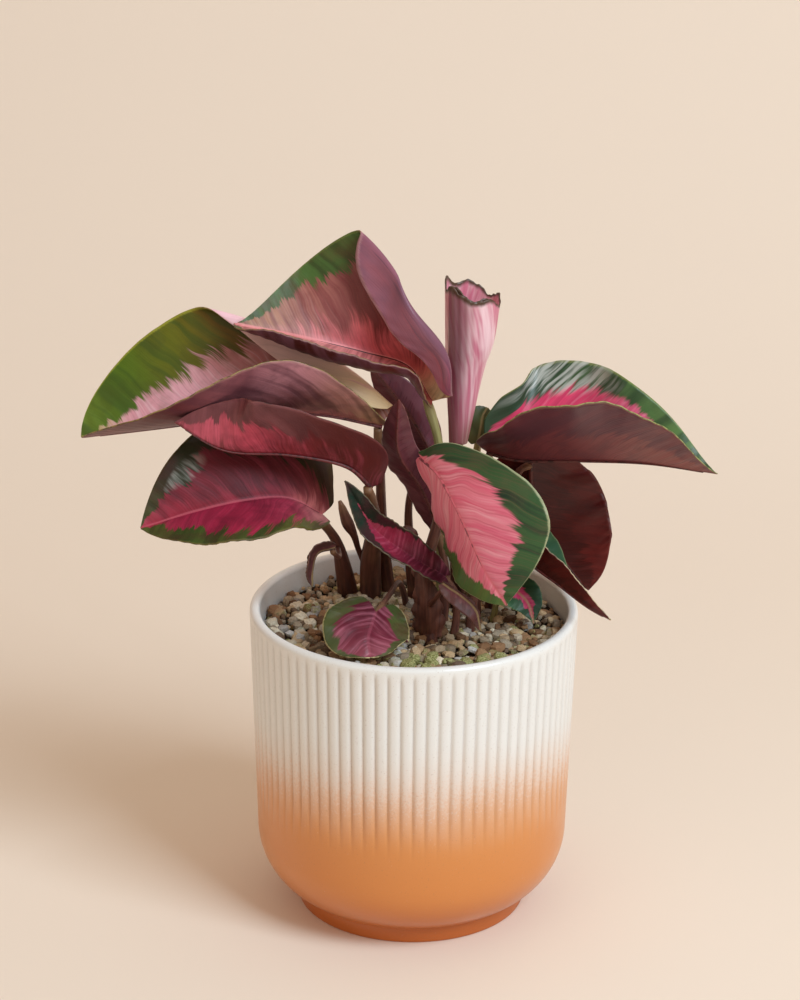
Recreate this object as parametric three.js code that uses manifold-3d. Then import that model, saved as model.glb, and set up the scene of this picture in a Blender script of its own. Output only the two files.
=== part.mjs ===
// Rosy calathea growing in a fluted ceramic planter.
// Millimetres, Z up. The axis of the pot is X = Y = 0, its foot stands on Z = 0, and -Y is the front.

import * as THREE from "three";
import { mergeVertices } from "three/addons/utils/BufferGeometryUtils.js";
import Module from "manifold-3d";

const wasm = await Module();
wasm.setup();

// Clearance between two touching pieces, and between the pot wall and what fills it
const GAP = 0.3;
const SOIL_GAP = 0.45;

// Pot
const POT_HEIGHT = 136;
const RIM_RADIUS = 70;
const RIM_EDGE = 2.2;
const RIM_WALL = 4.5;
const BELLY_RADIUS = 67.1;
const BELLY_HEIGHT = 35;
const BELLY_INWARD = 30;
const BELLY_DROP = 31;
const FOOT_RADIUS = 49.5;
const FOOT_CHAMFER = 0.6;
const INNER_FOOT_RADIUS = 62.6;
const INNER_FOOT_HEIGHT = 40;
const FLOOR_HEIGHT = 10;

// Flutes of the pot wall
const FLUTES = 82;
const FLUTE_DEPTH = 0.9;
const FLUTE_TOP = 133;
const FLUTE_FULL_TOP = 129;
const FLUTE_FULL_FOOT = 60;

// Potting soil and the gravel laid on it
const SOIL_TOP = 122;
const SOIL_SIDES = 41;
const GRAVEL_BED_TOP = 124.6;
const PEBBLES = 84;
const PEBBLE_RADIUS = [4.4, 5.8];
const PEBBLE_HEIGHT = [2.4, 3.6];
const PEBBLE_SEED = 20417;
const PEBBLE_EDGE_ROOM = 0.5;
const SHEATH_CLEARING = { x: 7, y: -12, radius: 11 };

// Leaf blades and stalks
const BLADE_THICKNESS = 0.7;
const TIP_HALF_WIDTH = 0.6;
const BASE_ROUNDING = 0.02;
const MIDRIB_SAMPLES = 80;
const ROW_EASE = 0.1;
const RIPPLE_SHIFT = 1.3;
const LATEST_FOLD = 0.8;
const LEAST_BEND = 0.1;
const STALK_SIDES = 6;
const STALK_ROWS = 7;
const SIDE_STEM_ROWS = 4;
const STALK_FOOT = 108;
const STALK_MOUTH = 124;
const STALK_OVERLAP = 1.5;

// Each leaf is given by real sizes in millimetres and degrees:
// midrib  points from the base of the blade to its tip
// face    the way the upper side looks
// half    half widths, left and right of the midrib seen from the upper side with the tip ahead
// base, tip  how full the outline is towards the base and towards the tip, left and right
// sweep   how far the blade leans towards its tip, per millimetre of width
// lift    angle of each half over the midrib, from base to tip
// curl    further turn of each half from the midrib to its margin
// lobe    how far the blade reaches back past the stalk
// roll    a fold line across the right half, from and to as (along, across), with its radius and turn,
//         and the columns between which the blade bends
// wave    height, count and phase of the waves of the margin
// cells   divisions along the blade and across each half
const LEAVES = [
  {
    name: "leaf_left_upper",
    color: 0x4d6b2c,
    midrib: [[-14, 9, 213.4], [-40, 3, 220.4], [-69.3, -1, 221.4], [-99.5, -5, 217.4], [-138.8, -7, 212.4]],
    face: [0, -0.17, 0.99],
    half: [42.9, 47.4],
    base: [1.01, 0.5],
    tip: [0.58, 0.73],
    sweep: [-0.35, 0.26],
    lift: [[46, 43, 25, 35], [66, 68, 55, 42]],
    curl: [[30, 40, 35, 20], [5, 0, 0, 0]],
    lobe: 3,
    roll: { from: [0, 7], to: [64.2, 40.9], radius: 2.6, turn: 174, columns: [3, 5] },
    wave: { height: 1, count: 3, phase: 0 },
    cells: [16, 7],
  },
  {
    name: "leaf_left_middle",
    color: 0x7d4654,
    midrib: [[-18, -16, 195], [-29, -20, 206], [-52, -24, 212], [-78, -28, 215], [-98, -32, 228]],
    face: [0, 0.57, 0.82],
    half: [30.3, 18],
    base: [0.81, 0.8],
    tip: [1.04, 0.9],
    sweep: [0.53, 0.2],
    lift: [[32, 21, 30, 58], [60, 60, 60, 50]],
    curl: [[0], [0]],
    lobe: 1.4,
    wave: { height: 0.6, count: 3, phase: 1 },
    cells: [12, 4],
  },
  {
    name: "leaf_left_lower",
    color: 0x2f4a32,
    midrib: [[-39, -4, 178], [-53, -12, 188], [-70, -20, 190], [-91, -26, 187], [-113, -30, 181]],
    face: [0, -0.64, 0.77],
    half: [28.1, 35.9],
    base: [0.8, 0.7],
    tip: [0.86, 0.89],
    sweep: [0.15, 0],
    lift: [[30], [30]],
    curl: [[-10], [-10]],
    lobe: 3,
    wave: { height: 0.7, count: 4, phase: 0 },
    cells: [12, 5],
  },
  {
    name: "leaf_top",
    color: 0x3c5a34,
    midrib: [[7, 10, 224], [-3, 8, 240], [-21, 5, 247], [-48, 0, 255], [-75, -6, 262]],
    face: [0, -0.3, 0.95],
    half: [25.2, 55.3],
    base: [0.51, 0.81],
    tip: [0.51, 1.4],
    sweep: [0.2, 0.05],
    lift: [[1, -31, -31, 2], [100, 106, 61, 35, 37]],
    curl: [[120], [0, 7, 0]],
    lobe: 0,
    roll: { from: [0, 9], to: [51.7, 43.8], radius: 2.5, turn: 167, columns: [3, 6] },
    wave: { height: 0.4, count: 5, phase: 0 },
    cells: [16, 8],
  },
  {
    name: "leaf_right",
    color: 0x33523c,
    midrib: [[30, 4, 204], [44, 0, 202], [69, -6, 204], [97, -12, 205], [125, -16, 202]],
    face: [0, -0.17, 0.99],
    half: [43.5, 55.3],
    base: [0.59, 0.84],
    tip: [1.2, 1.34],
    sweep: [0.04, 0.15],
    lift: [[60, 44, 62, 36], [50, 51, 56, 56]],
    curl: [[0], [0]],
    lobe: 4,
    wave: { height: 1, count: 4, phase: 0 },
    cells: [14, 5],
  },
  {
    name: "leaf_front",
    color: 0xc4607a,
    midrib: [[2, -12, 207], [10, -22, 202], [19, -34, 188], [28, -42, 170], [38, -44, 154]],
    face: [0, -0.9, 0.45],
    half: [37.2, 29.1],
    base: [1.3, 0.84],
    tip: [1.13, 0.9],
    sweep: [0.14, 0.1],
    lift: [[40], [-55, -60, -55, -35]],
    curl: [[-20], [-25]],
    lobe: 2,
    wave: { height: 0.8, count: 4, phase: 0 },
    cells: [14, 5],
  },
  {
    name: "leaf_back_right",
    color: 0x5a2428,
    midrib: [[49, 14, 197], [50, 16, 183], [56, 16, 164], [66, 14, 149], [75, 10, 139]],
    face: [0.1, 0.8, 0.4],
    half: [20, 29.1],
    base: [0.45, 0.37],
    tip: [1.1, 0.4],
    sweep: [0.15, -0.06],
    lift: [[10], [22]],
    curl: [[0], [0]],
    lobe: 3,
    wave: { height: 0.8, count: 4, phase: 2 },
    cells: [12, 4],
  },
  {
    name: "leaf_lower_right",
    color: 0x5e2c30,
    midrib: [[36, 0, 170], [49, -6, 158], [60, -14, 152], [72, -22, 145], [82, -28, 141]],
    face: [0.3, -0.2, 0.9],
    half: [17.6, 12.4],
    base: [0.79, 0.3],
    tip: [2.95, 0.9],
    sweep: [0.15, 0.15],
    lift: [[26], [83]],
    curl: [[0], [0]],
    lobe: 2,
    wave: { height: 0.4, count: 4, phase: 0 },
    cells: [10, 3],
  },
  {
    name: "leaf_small_right",
    color: 0x35553a,
    midrib: [[39, 4, 143], [45, 0, 141], [49, -3, 137], [51, -6, 130]],
    face: [0, -0.6, 0.8],
    half: [9, 9],
    base: [0.5, 0.5],
    tip: [1.2, 1.2],
    sweep: [0.15, 0.15],
    lift: [[0], [10]],
    curl: [[0], [0]],
    lobe: 2,
    wave: { height: 0.3, count: 3, phase: 0 },
    cells: [8, 3],
  },
  {
    name: "leaf_small_front",
    color: 0x8c4a58,
    midrib: [[-16, -26, 143], [-17, -30, 141], [-19, -38, 136], [-18, -44, 130]],
    face: [0, -0.8, 0.6],
    half: [17, 20],
    base: [0.42, 0.42],
    tip: [0.55, 0.6],
    sweep: [0.15, 0.05],
    lift: [[0], [0]],
    curl: [[0], [0]],
    lobe: 6,
    wave: { height: 0.6, count: 4, phase: 0 },
    cells: [10, 4],
  },
  {
    name: "leaf_centre_furled",
    color: 0x7a2c48,
    midrib: [[13, -12, 154], [-2, -17, 165], [-17, -22, 179], [-29, -26, 201]],
    face: [-0.2, -0.6, 0.7],
    half: [11, 9.5],
    base: [0.45, 0.7],
    tip: [1.06, 0.8],
    sweep: [0.3, 0.13],
    lift: [[20], [30]],
    curl: [[40], [40]],
    lobe: 2,
    wave: { height: 0.4, count: 4, phase: 1 },
    cells: [10, 4],
  },
  {
    name: "leaf_centre_upright",
    color: 0x6b3a40,
    midrib: [[11, 4, 167], [3, 0, 188], [-7, -9, 208], [-7, -16, 233]],
    face: [0.2, 0.9, 0.2],
    half: [9, 10],
    base: [0.6, 0.6],
    tip: [0.8, 0.8],
    sweep: [0.1, 0.1],
    lift: [[15], [15]],
    curl: [[20], [20]],
    lobe: 2,
    wave: { height: 0.4, count: 3, phase: 0 },
    cells: [10, 4],
  },
  {
    name: "leaf_behind_top",
    color: 0x4a2a2c,
    midrib: [[7, 16, 198], [0, 17, 211], [-9, 18, 224], [-19, 18, 237]],
    face: [-0.3, 0.9, 0.5],
    half: [10, 10],
    base: [0.5, 0.5],
    tip: [0.8, 0.8],
    sweep: [0.15, 0.15],
    lift: [[20], [20]],
    curl: [[0], [0]],
    lobe: 2,
    wave: { height: 0.3, count: 3, phase: 0 },
    cells: [8, 3],
  },
  {
    name: "leaf_behind_roll",
    color: 0x4c5a34,
    midrib: [[27, 34, 198], [28, 36, 203], [29, 38, 208], [31, 40, 211]],
    face: [0.1, -0.6, 0.8],
    half: [8, 8],
    base: [0.5, 0.5],
    tip: [0.8, 0.8],
    sweep: [0.15, 0.15],
    lift: [[20], [20]],
    curl: [[0], [0]],
    lobe: 2,
    wave: { height: 0.3, count: 3, phase: 0 },
    cells: [8, 3],
  },
  {
    name: "leaf_droop_front",
    color: 0x4a2e2c,
    midrib: [[12, -28, 157], [21, -32, 152], [26, -34, 147], [28, -34, 138]],
    face: [0.3, -0.3, 0.9],
    half: [6, 6],
    base: [0.5, 0.5],
    tip: [0.8, 0.8],
    sweep: [0.15, 0.15],
    lift: [[-30], [-30]],
    curl: [[0], [0]],
    lobe: 1,
    wave: { height: 0.3, count: 3, phase: 0 },
    cells: [8, 2],
  },
  {
    name: "leaf_droop_left",
    color: 0x6a3a3c,
    midrib: [[-34, -4, 163], [-41, -8, 162], [-43, -12, 156], [-43, -14, 149]],
    face: [-0.6, 0.3, 0.6],
    half: [5, 5],
    base: [0.5, 0.5],
    tip: [0.8, 0.8],
    sweep: [0.15, 0.15],
    lift: [[30], [30]],
    curl: [[0], [0]],
    lobe: 1,
    wave: { height: 0.2, count: 3, phase: 0 },
    cells: [8, 2],
  },
];

// The new leaf, still rolled into a tapering scroll
const SCROLL = {
  name: "leaf_rolled",
  color: 0xd08ca2,
  axis: [[18, 24, 201], [20, 24, 232], [22, 24, 247], [23, 24, 268]],
  radius: [4.7, 8.9, 11.2, 12.6],
  turns: 1.3,
  pitch: 1.8,
  seam: 221,
  raggedness: 1.6,
  cells: [7, 22],
};

// Each stalk stands in the soil at its foot, follows its points and ends under the base of its leaf,
// or as far aside of it as a steeply folded blade needs.
const STALKS = [
  { name: "stalk_left_upper", leaf: "leaf_left_upper", color: 0x5c3c30, foot: [-11, 38],
    radius: [3, 2.4, 1.9, 1.7], points: [[-14, 28, 160], [-15, 14, 195]] },
  { name: "stalk_left_middle", leaf: "leaf_left_middle", color: 0x50302a, foot: [-19, 35],
    radius: [4.6, 4.4, 2.8, 1.9], points: [[-19, 24, 145], [-17, 6, 172]] },
  { name: "stalk_left_lower", leaf: "leaf_left_lower", color: 0x5a382c, foot: [-29, 38],
    radius: [4.5, 3.6, 2.2, 1.7], points: [[-31, 28, 142], [-34, 14, 160]] },
  { name: "stalk_top", leaf: "leaf_top", color: 0x989462, foot: [12, 14],
    radius: [2.4, 2, 1.9, 1.8], points: [[11, 12, 170], [10, 9, 203]] },
  { name: "stalk_rolled", leaf: "leaf_rolled", color: 0x6a4640, foot: [19, 22],
    radius: [3, 2.6, 2.3, 2.2], points: [[18, 24, 150], [17, 24, 176]] },
  { name: "stalk_right", leaf: "leaf_right", color: 0x5c3c34, foot: [26, 12],
    radius: [3, 2.5, 1.9, 1.7], points: [[25, 10, 160], [24, 7, 190]] },
  { name: "stalk_front", leaf: "leaf_front", color: 0x48302c, foot: [7, -14], aside: -1.2,
    radius: [3.2, 2.8, 2.1, 1.7], points: [[4, -6, 150], [10, -4, 180]] },
  { name: "stalk_back_right", leaf: "leaf_back_right", color: 0x5c3c34, foot: [33, 20],
    radius: [2.6, 2, 1.6, 1.4], points: [[37, 16, 165], [43, 12, 190]] },
  { name: "stalk_lower_right", leaf: "leaf_lower_right", color: 0x5c3c34, foot: [24, -2],
    radius: [2.4, 2, 1.6, 1.4], points: [[26, -1, 145], [30, 0, 160]] },
  { name: "stalk_small_right", leaf: "leaf_small_right", color: 0x8a8c58, foot: [34, 6],
    radius: [1.5, 1.3, 1.2, 1.2], points: [[35, 6, 132], [36, 5.6, 137]] },
  { name: "stalk_small_front", leaf: "leaf_small_front", color: 0x7a5448, foot: [-3, 22],
    radius: [1.5, 1.3, 1.2, 1.2], points: [[-6, 8, 142], [-10, -8, 144]] },
  { name: "stalk_centre_furled", leaf: "leaf_centre_furled", color: 0x50322c, foot: [17, -10],
    radius: [1.8, 1.6, 1.4, 1.4], points: [[18, -9, 135], [17, -9, 146]] },
  { name: "stalk_centre_upright", leaf: "leaf_centre_upright", color: 0x50322c, foot: [12, 2],
    radius: [2.6, 2.2, 1.8, 1.5], points: [[13, 2, 140], [13, 2, 152]] },
  { name: "stalk_behind_top", leaf: "leaf_behind_top", color: 0x5a382c, foot: [0, 33],
    radius: [2.6, 2.2, 1.5, 1.4], points: [[-2, 28, 150], [-2, 20, 178]] },
  { name: "stalk_behind_roll", leaf: "leaf_behind_roll", color: 0x6c6c40, foot: [25, 34],
    radius: [2, 1.8, 1.5, 1.4], points: [[26, 35, 150], [25, 35, 175]] },
];

// Pot, soil and gravel colours
const GLAZE = { color: 0xe6e0d4, roughness: 0.28 };
const SOIL = { color: 0x3a2c22, roughness: 0.95 };
const GRAVEL = { color: 0x9c876c, roughness: 0.9 };
const LEAF_ROUGHNESS = 0.45;
const STALK_ROUGHNESS = 0.6;

// Repeatable random numbers from 0 to 1
function seeded(seed) {
  let state = seed;
  return () => {
    state = (state * 1664525 + 1013904223) % 4294967296;
    return state / 4294967296;
  };
}

// A closed solid from a list of points and triangles, turned to face outwards
function solidFrom(points, triangles) {
  let volume = 0;
  const cross = new THREE.Vector3();
  for (const [a, b, c] of triangles) {
    volume += points[a].dot(cross.crossVectors(points[b], points[c]));
  }
  const faces = volume < 0 ? triangles.map(([a, b, c]) => [a, c, b]) : triangles;
  const geometry = new THREE.BufferGeometry();
  geometry.setAttribute(
    "position",
    new THREE.Float32BufferAttribute(points.flatMap((p) => p.toArray()), 3),
  );
  geometry.setIndex(faces.flat());
  return geometry;
}

// Boolean work on closed geometries
function toManifold(geometry) {
  const bare = geometry.clone();
  bare.deleteAttribute("normal");
  bare.deleteAttribute("uv");
  const merged = mergeVertices(bare, 1e-4);
  return new wasm.Manifold(
    new wasm.Mesh({
      numProp: 3,
      vertProperties: new Float32Array(merged.attributes.position.array),
      triVerts: new Uint32Array(merged.index.array),
    }),
  );
}

function fromManifold(solid) {
  const mesh = solid.getMesh();
  const geometry = new THREE.BufferGeometry();
  geometry.setAttribute("position", new THREE.BufferAttribute(new Float32Array(mesh.vertProperties), 3));
  geometry.setIndex(new THREE.BufferAttribute(new Uint32Array(mesh.triVerts), 1));
  return geometry;
}

function united(geometries) {
  return geometries.map(toManifold).reduce((all, one) => all.add(one));
}

// A solid of stacked closed rings with a point at each end; rings may differ in their number of points
function loft(rings) {
  const points = [];
  const starts = rings.map((ring) => {
    points.push(...ring);
    return points.length - ring.length;
  });
  const triangles = [];
  for (let k = 0; k + 1 < rings.length; k += 1) {
    const below = rings[k].length;
    const above = rings[k + 1].length;
    let i = 0;
    let j = 0;
    while (i < below || j < above) {
      const a = starts[k] + (i % below);
      const b = starts[k + 1] + (j % above);
      if (above === 1 || (below > 1 && i * above <= j * below && i < below)) {
        triangles.push([a, starts[k] + ((i + 1) % below), b]);
        i += 1;
        if (above === 1 && i === below) break;
      } else {
        triangles.push([a, starts[k + 1] + ((j + 1) % above), b]);
        j += 1;
        if (below === 1 && j === above) break;
      }
    }
  }
  return solidFrom(points, triangles);
}

function circle(radius, z, count, inset = 0) {
  return Array.from({ length: count }, (_, i) => {
    const angle = (2 * Math.PI * i) / count;
    const r = radius - (i % 2 ? inset : 0);
    return new THREE.Vector3(r * Math.cos(angle), r * Math.sin(angle), z);
  });
}

const axisPoint = (z) => [new THREE.Vector3(0, 0, z)];

// Radius of the outer wall over the belly, and of the inner wall, at a height
function outerRadius(z) {
  const share = (z - BELLY_HEIGHT) / (FLUTE_TOP - BELLY_HEIGHT);
  return THREE.MathUtils.lerp(BELLY_RADIUS, RIM_RADIUS, share);
}

function innerRadius(z) {
  const top = POT_HEIGHT - RIM_EDGE;
  const share = (z - INNER_FOOT_HEIGHT) / (top - INNER_FOOT_HEIGHT);
  return THREE.MathUtils.lerp(INNER_FOOT_RADIUS, RIM_RADIUS - RIM_WALL, share);
}

// Inside of the pot below the straight wall, as radius and height
const INNER_CURVE = [[40, 10.5], [54, 16], [60.6, 27]];

function makePot() {
  const fine = 2 * FLUTES;
  const coarse = FLUTES / 2;
  const rings = [axisPoint(0), circle(FOOT_RADIUS - FOOT_CHAMFER, 0, FLUTES)];
  rings.push(circle(FOOT_RADIUS, FOOT_CHAMFER, FLUTES));
  for (const degrees of [65, 52, 38, 20, 0]) {
    const turn = THREE.MathUtils.degToRad(degrees);
    const r = BELLY_RADIUS - BELLY_INWARD * (1 - Math.cos(turn));
    rings.push(circle(r, BELLY_HEIGHT - BELLY_DROP * Math.sin(turn), degrees ? FLUTES : fine));
  }
  rings.push(circle(outerRadius(FLUTE_FULL_FOOT), FLUTE_FULL_FOOT, fine, FLUTE_DEPTH));
  rings.push(circle(outerRadius(FLUTE_FULL_TOP), FLUTE_FULL_TOP, fine, FLUTE_DEPTH));
  rings.push(circle(RIM_RADIUS, FLUTE_TOP, fine));
  const innerRim = RIM_RADIUS - RIM_WALL;
  const middle = (RIM_RADIUS + innerRim) / 2;
  for (const degrees of [35, 90, 145]) {
    const turn = THREE.MathUtils.degToRad(degrees);
    const r = middle + (RIM_WALL / 2) * Math.cos(turn);
    rings.push(circle(r, POT_HEIGHT - RIM_EDGE * (1 - Math.sin(turn)), FLUTES));
  }
  rings.push(circle(innerRim, POT_HEIGHT - RIM_EDGE, FLUTES));
  rings.push(circle(INNER_FOOT_RADIUS, INNER_FOOT_HEIGHT, coarse));
  for (const [r, z] of [...INNER_CURVE].reverse()) rings.push(circle(r, z, coarse));
  rings.push(axisPoint(FLOOR_HEIGHT));
  return loft(rings);
}

function makeSoil(holes) {
  const rings = [axisPoint(FLOOR_HEIGHT + GAP)];
  for (const [r, z] of INNER_CURVE) rings.push(circle(r - GAP, z + GAP, SOIL_SIDES));
  rings.push(circle(INNER_FOOT_RADIUS - GAP, INNER_FOOT_HEIGHT, SOIL_SIDES));
  rings.push(circle(innerRadius(SOIL_TOP) - SOIL_GAP, SOIL_TOP, SOIL_SIDES));
  rings.push(axisPoint(SOIL_TOP));
  return fromManifold(toManifold(loft(rings)).subtract(holes));
}

// One pebble: a rough twenty-faced stone, flattened and turned
function pebble(x, y, radius, height, random) {
  const ball = new THREE.IcosahedronGeometry(1, 0);
  const stone = mergeVertices(ball.deleteAttribute("normal").deleteAttribute("uv"));
  const position = stone.attributes.position;
  for (let i = 0; i < position.count; i += 1) {
    const swell = 0.86 + 0.14 * random();
    position.setXYZ(i, position.getX(i) * swell, position.getY(i) * swell, position.getZ(i) * swell);
  }
  stone.rotateZ(2 * Math.PI * random());
  stone.rotateX(2 * Math.PI * random());
  stone.scale(radius, radius * (0.75 + 0.25 * random()), height);
  stone.rotateZ(2 * Math.PI * random());
  return stone.translate(x, y, GRAVEL_BED_TOP + 0.25 * height);
}

function makeGravel(holes, feet) {
  const random = seeded(PEBBLE_SEED);
  const bedRadius = innerRadius(SOIL_TOP) - SOIL_GAP;
  const bed = loft([
    axisPoint(SOIL_TOP + GAP),
    circle(bedRadius, SOIL_TOP + GAP, SOIL_SIDES),
    circle(bedRadius, GRAVEL_BED_TOP, SOIL_SIDES),
    axisPoint(GRAVEL_BED_TOP),
  ]);
  const goldenAngle = Math.PI * (3 - Math.sqrt(5));
  const stones = [];
  for (let i = 0; i < PEBBLES; i += 1) {
    const size = THREE.MathUtils.lerp(...PEBBLE_RADIUS, random());
    const height = THREE.MathUtils.lerp(...PEBBLE_HEIGHT, random());
    const spread = (bedRadius - PEBBLE_RADIUS[1] - PEBBLE_EDGE_ROOM) * Math.sqrt((i + 0.5) / PEBBLES);
    const angle = i * goldenAngle;
    const x = spread * Math.cos(angle);
    const y = spread * Math.sin(angle);
    const taken = feet.some((foot) => Math.hypot(x - foot.x, y - foot.y) < foot.radius + size);
    if (!taken) stones.push(pebble(x, y, size, height, random));
  }
  return fromManifold(united([bed, ...stones]).subtract(holes));
}

// A curve through points, and a value eased along a list
function curveThrough(points) {
  return new THREE.CatmullRomCurve3(
    points.map((p) => new THREE.Vector3(...p)),
    false,
    "catmullrom",
    0.5,
  );
}

function along(values, share) {
  if (values.length === 1) return values[0];
  const at = THREE.MathUtils.clamp(share, 0, 1) * (values.length - 1);
  const i = Math.min(Math.floor(at), values.length - 2);
  const t = at - i;
  const b = values[i];
  const c = values[i + 1];
  const a = i > 0 ? values[i - 1] : 2 * b - c;
  const d = i + 2 < values.length ? values[i + 2] : 2 * c - b;
  return 0.5 * (2 * b + (c - a) * t + (2 * a - 5 * b + 4 * c - d) * t ** 2 + (3 * b - a - 3 * c + d) * t ** 3);
}

// The midrib with its length and, at each sample, the ways along it, across it and out of the upper side
function midribOf(leaf) {
  const curve = curveThrough(leaf.midrib);
  const face = new THREE.Vector3(...leaf.face).normalize();
  const points = Array.from({ length: MIDRIB_SAMPLES + 1 }, (_, i) => curve.getPoint(i / MIDRIB_SAMPLES));
  const lengths = [0];
  for (let i = 1; i <= MIDRIB_SAMPLES; i += 1) {
    lengths.push(lengths[i - 1] + points[i].distanceTo(points[i - 1]));
  }
  const frames = points.map((point, i) => {
    const before = points[Math.max(i - 1, 0)];
    const after = points[Math.min(i + 1, MIDRIB_SAMPLES)];
    const ahead = after.clone().sub(before).normalize();
    const up = face.clone().addScaledVector(ahead, -face.dot(ahead)).normalize();
    return { point, ahead, up, across: ahead.clone().cross(up) };
  });
  return { frames, lengths, length: lengths[MIDRIB_SAMPLES] };
}

function midribAt(midrib, distance) {
  const at = THREE.MathUtils.clamp(distance, 0, midrib.length);
  let i = 0;
  while (i + 2 <= MIDRIB_SAMPLES && midrib.lengths[i + 1] < at) i += 1;
  const t = (at - midrib.lengths[i]) / (midrib.lengths[i + 1] - midrib.lengths[i]);
  const mix = (key) => midrib.frames[i][key].clone().lerp(midrib.frames[i + 1][key], t);
  const frame = { point: mix("point"), ahead: mix("ahead"), up: mix("up"), across: mix("across") };
  frame.point.addScaledVector(frame.ahead, distance - at);
  return frame;
}

// Share of the full half width at a share of the length
function outline(share, base, tip) {
  const widest = (base - BASE_ROUNDING * tip) / (base + tip);
  const rise = ((share + BASE_ROUNDING) / (widest + BASE_ROUNDING)) ** base;
  return rise * (Math.max(1 - share, 0) / (1 - widest)) ** tip;
}

// A point of the blade laid flat, as distances along the midrib and out from it
function flatPoint(leaf, midrib, u, v) {
  const side = v < 0 ? 0 : 1;
  const reach = Math.abs(v);
  const t = reach * Math.max(leaf.half[side] * outline(u, leaf.base[side], leaf.tip[side]), TIP_HALF_WIDTH);
  const swept = leaf.sweep[side] * t * Math.min(3 * u, 1);
  const lobe = leaf.lobe * Math.max(1 - 2 * u, 0) ** 2 * Math.sin((reach * Math.PI) / 2);
  return [midrib.length * u + swept - lobe, t];
}

// The direction across a fold line, and how far past the line a flat point lies
function foldAcross(roll) {
  const run = new THREE.Vector2(roll.to[0] - roll.from[0], roll.to[1] - roll.from[1]).normalize();
  return new THREE.Vector2(-run.y, run.x);
}

function foldDepth(roll, [s, t]) {
  const past = foldAcross(roll);
  return (s - roll.from[0]) * past.x + (t - roll.from[1]) * past.y;
}

// Rolls what lies past the fold line over onto the upper side
function rolled(roll, [s, t]) {
  const past = foldAcross(roll);
  const depth = Math.max(foldDepth(roll, [s, t]), 0);
  const turn = Math.min(depth / roll.radius, THREE.MathUtils.degToRad(roll.turn));
  const rest = depth - turn * roll.radius;
  const moved = roll.radius * Math.sin(turn) + rest * Math.cos(turn) - depth;
  const height = roll.radius * (1 - Math.cos(turn)) + rest * Math.sin(turn);
  return [s + moved * past.x, t + moved * past.y, height];
}

// Where the columns of the right half stand at a row: even, or gathered in the bend where the blade rolls over
function rightColumns(leaf, midrib, u) {
  const count = leaf.cells[1];
  if (!leaf.roll) return Array.from({ length: count + 1 }, (_, j) => j / count);
  const near = foldDepth(leaf.roll, flatPoint(leaf, midrib, u, 0));
  const far = foldDepth(leaf.roll, flatPoint(leaf, midrib, u, 1));
  const crossed = far > 0 ? -near / (far - near) : 1;
  const start = Math.min(crossed, LATEST_FOLD);
  const bend = (leaf.roll.radius * THREE.MathUtils.degToRad(leaf.roll.turn)) / (far - near);
  const end = start + Math.min(Math.max(bend, LEAST_BEND), (1 - start) / 2);
  const [first, last] = leaf.roll.columns;
  return Array.from({ length: count + 1 }, (_, j) => {
    if (j <= first) return (start * j) / first;
    if (j <= last) return start + ((end - start) * (j - first)) / (last - first);
    return end + ((1 - end) * (j - last)) / (count - last);
  });
}

// A point of the blade: u runs from base to tip, v from the left margin (-1) to the right one (1)
function bladePoint(leaf, midrib, u, v) {
  const side = v < 0 ? 0 : 1;
  const sign = side ? 1 : -1;
  const reach = Math.abs(v);
  const full = outline(u, leaf.base[side], leaf.tip[side]);
  let [s, t] = flatPoint(leaf, midrib, u, v);
  let height = 0;
  if (leaf.roll && side) [s, t, height] = rolled(leaf.roll, [s, t]);
  const ripple = 2 * Math.PI * leaf.wave.count * u + leaf.wave.phase + (side ? RIPPLE_SHIFT : 0);
  height += leaf.wave.height * Math.sin(ripple) * reach ** 2 * full;
  const share = THREE.MathUtils.clamp(s / midrib.length, 0, 1);
  const lift = THREE.MathUtils.degToRad(along(leaf.lift[side], share));
  const bend = THREE.MathUtils.degToRad(along(leaf.curl[side], share)) / leaf.half[side] || 1e-6;
  const angle = lift + bend * t;
  const out = (Math.sin(angle) - Math.sin(lift)) / bend - height * Math.sin(angle);
  const rise = (Math.cos(lift) - Math.cos(angle)) / bend + height * Math.cos(angle);
  const frame = midribAt(midrib, s);
  return frame.point.addScaledVector(frame.across, sign * out).addScaledVector(frame.up, rise);
}

// Thickens a grid of points into a closed sheet, split into triangles alike on both faces
function sheet(grid, thickness) {
  const rows = grid.length;
  const columns = grid[0].length;
  const points = [];
  for (const facing of [0.5, -0.5]) {
    for (let i = 0; i < rows; i += 1) {
      for (let j = 0; j < columns; j += 1) {
        const ahead = grid[Math.min(i + 1, rows - 1)][j].clone().sub(grid[Math.max(i - 1, 0)][j]);
        const across = grid[i][Math.min(j + 1, columns - 1)].clone().sub(grid[i][Math.max(j - 1, 0)]);
        const normal = across.cross(ahead).normalize();
        points.push(grid[i][j].clone().addScaledVector(normal, facing * thickness));
      }
    }
  }
  const under = rows * columns;
  const at = (i, j) => i * columns + j;
  const triangles = [];
  for (let i = 0; i + 1 < rows; i += 1) {
    for (let j = 0; j + 1 < columns; j += 1) {
      const corners = [at(i, j), at(i + 1, j), at(i + 1, j + 1), at(i, j + 1)];
      const split = 2 * j + 1 < columns ? [[0, 1, 2], [0, 2, 3]] : [[0, 1, 3], [1, 2, 3]];
      for (const [a, b, c] of split) {
        triangles.push([corners[a], corners[c], corners[b]]);
        triangles.push([corners[a] + under, corners[b] + under, corners[c] + under]);
      }
    }
  }
  const border = [];
  for (let j = 0; j < columns - 1; j += 1) border.push(at(0, j));
  for (let i = 0; i < rows - 1; i += 1) border.push(at(i, columns - 1));
  for (let j = columns - 1; j > 0; j -= 1) border.push(at(rows - 1, j));
  for (let i = rows - 1; i > 0; i -= 1) border.push(at(i, 0));
  border.forEach((a, k) => {
    const b = border[(k + 1) % border.length];
    triangles.push([a, b + under, b], [a, a + under, b + under]);
  });
  return solidFrom(points, triangles);
}

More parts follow.
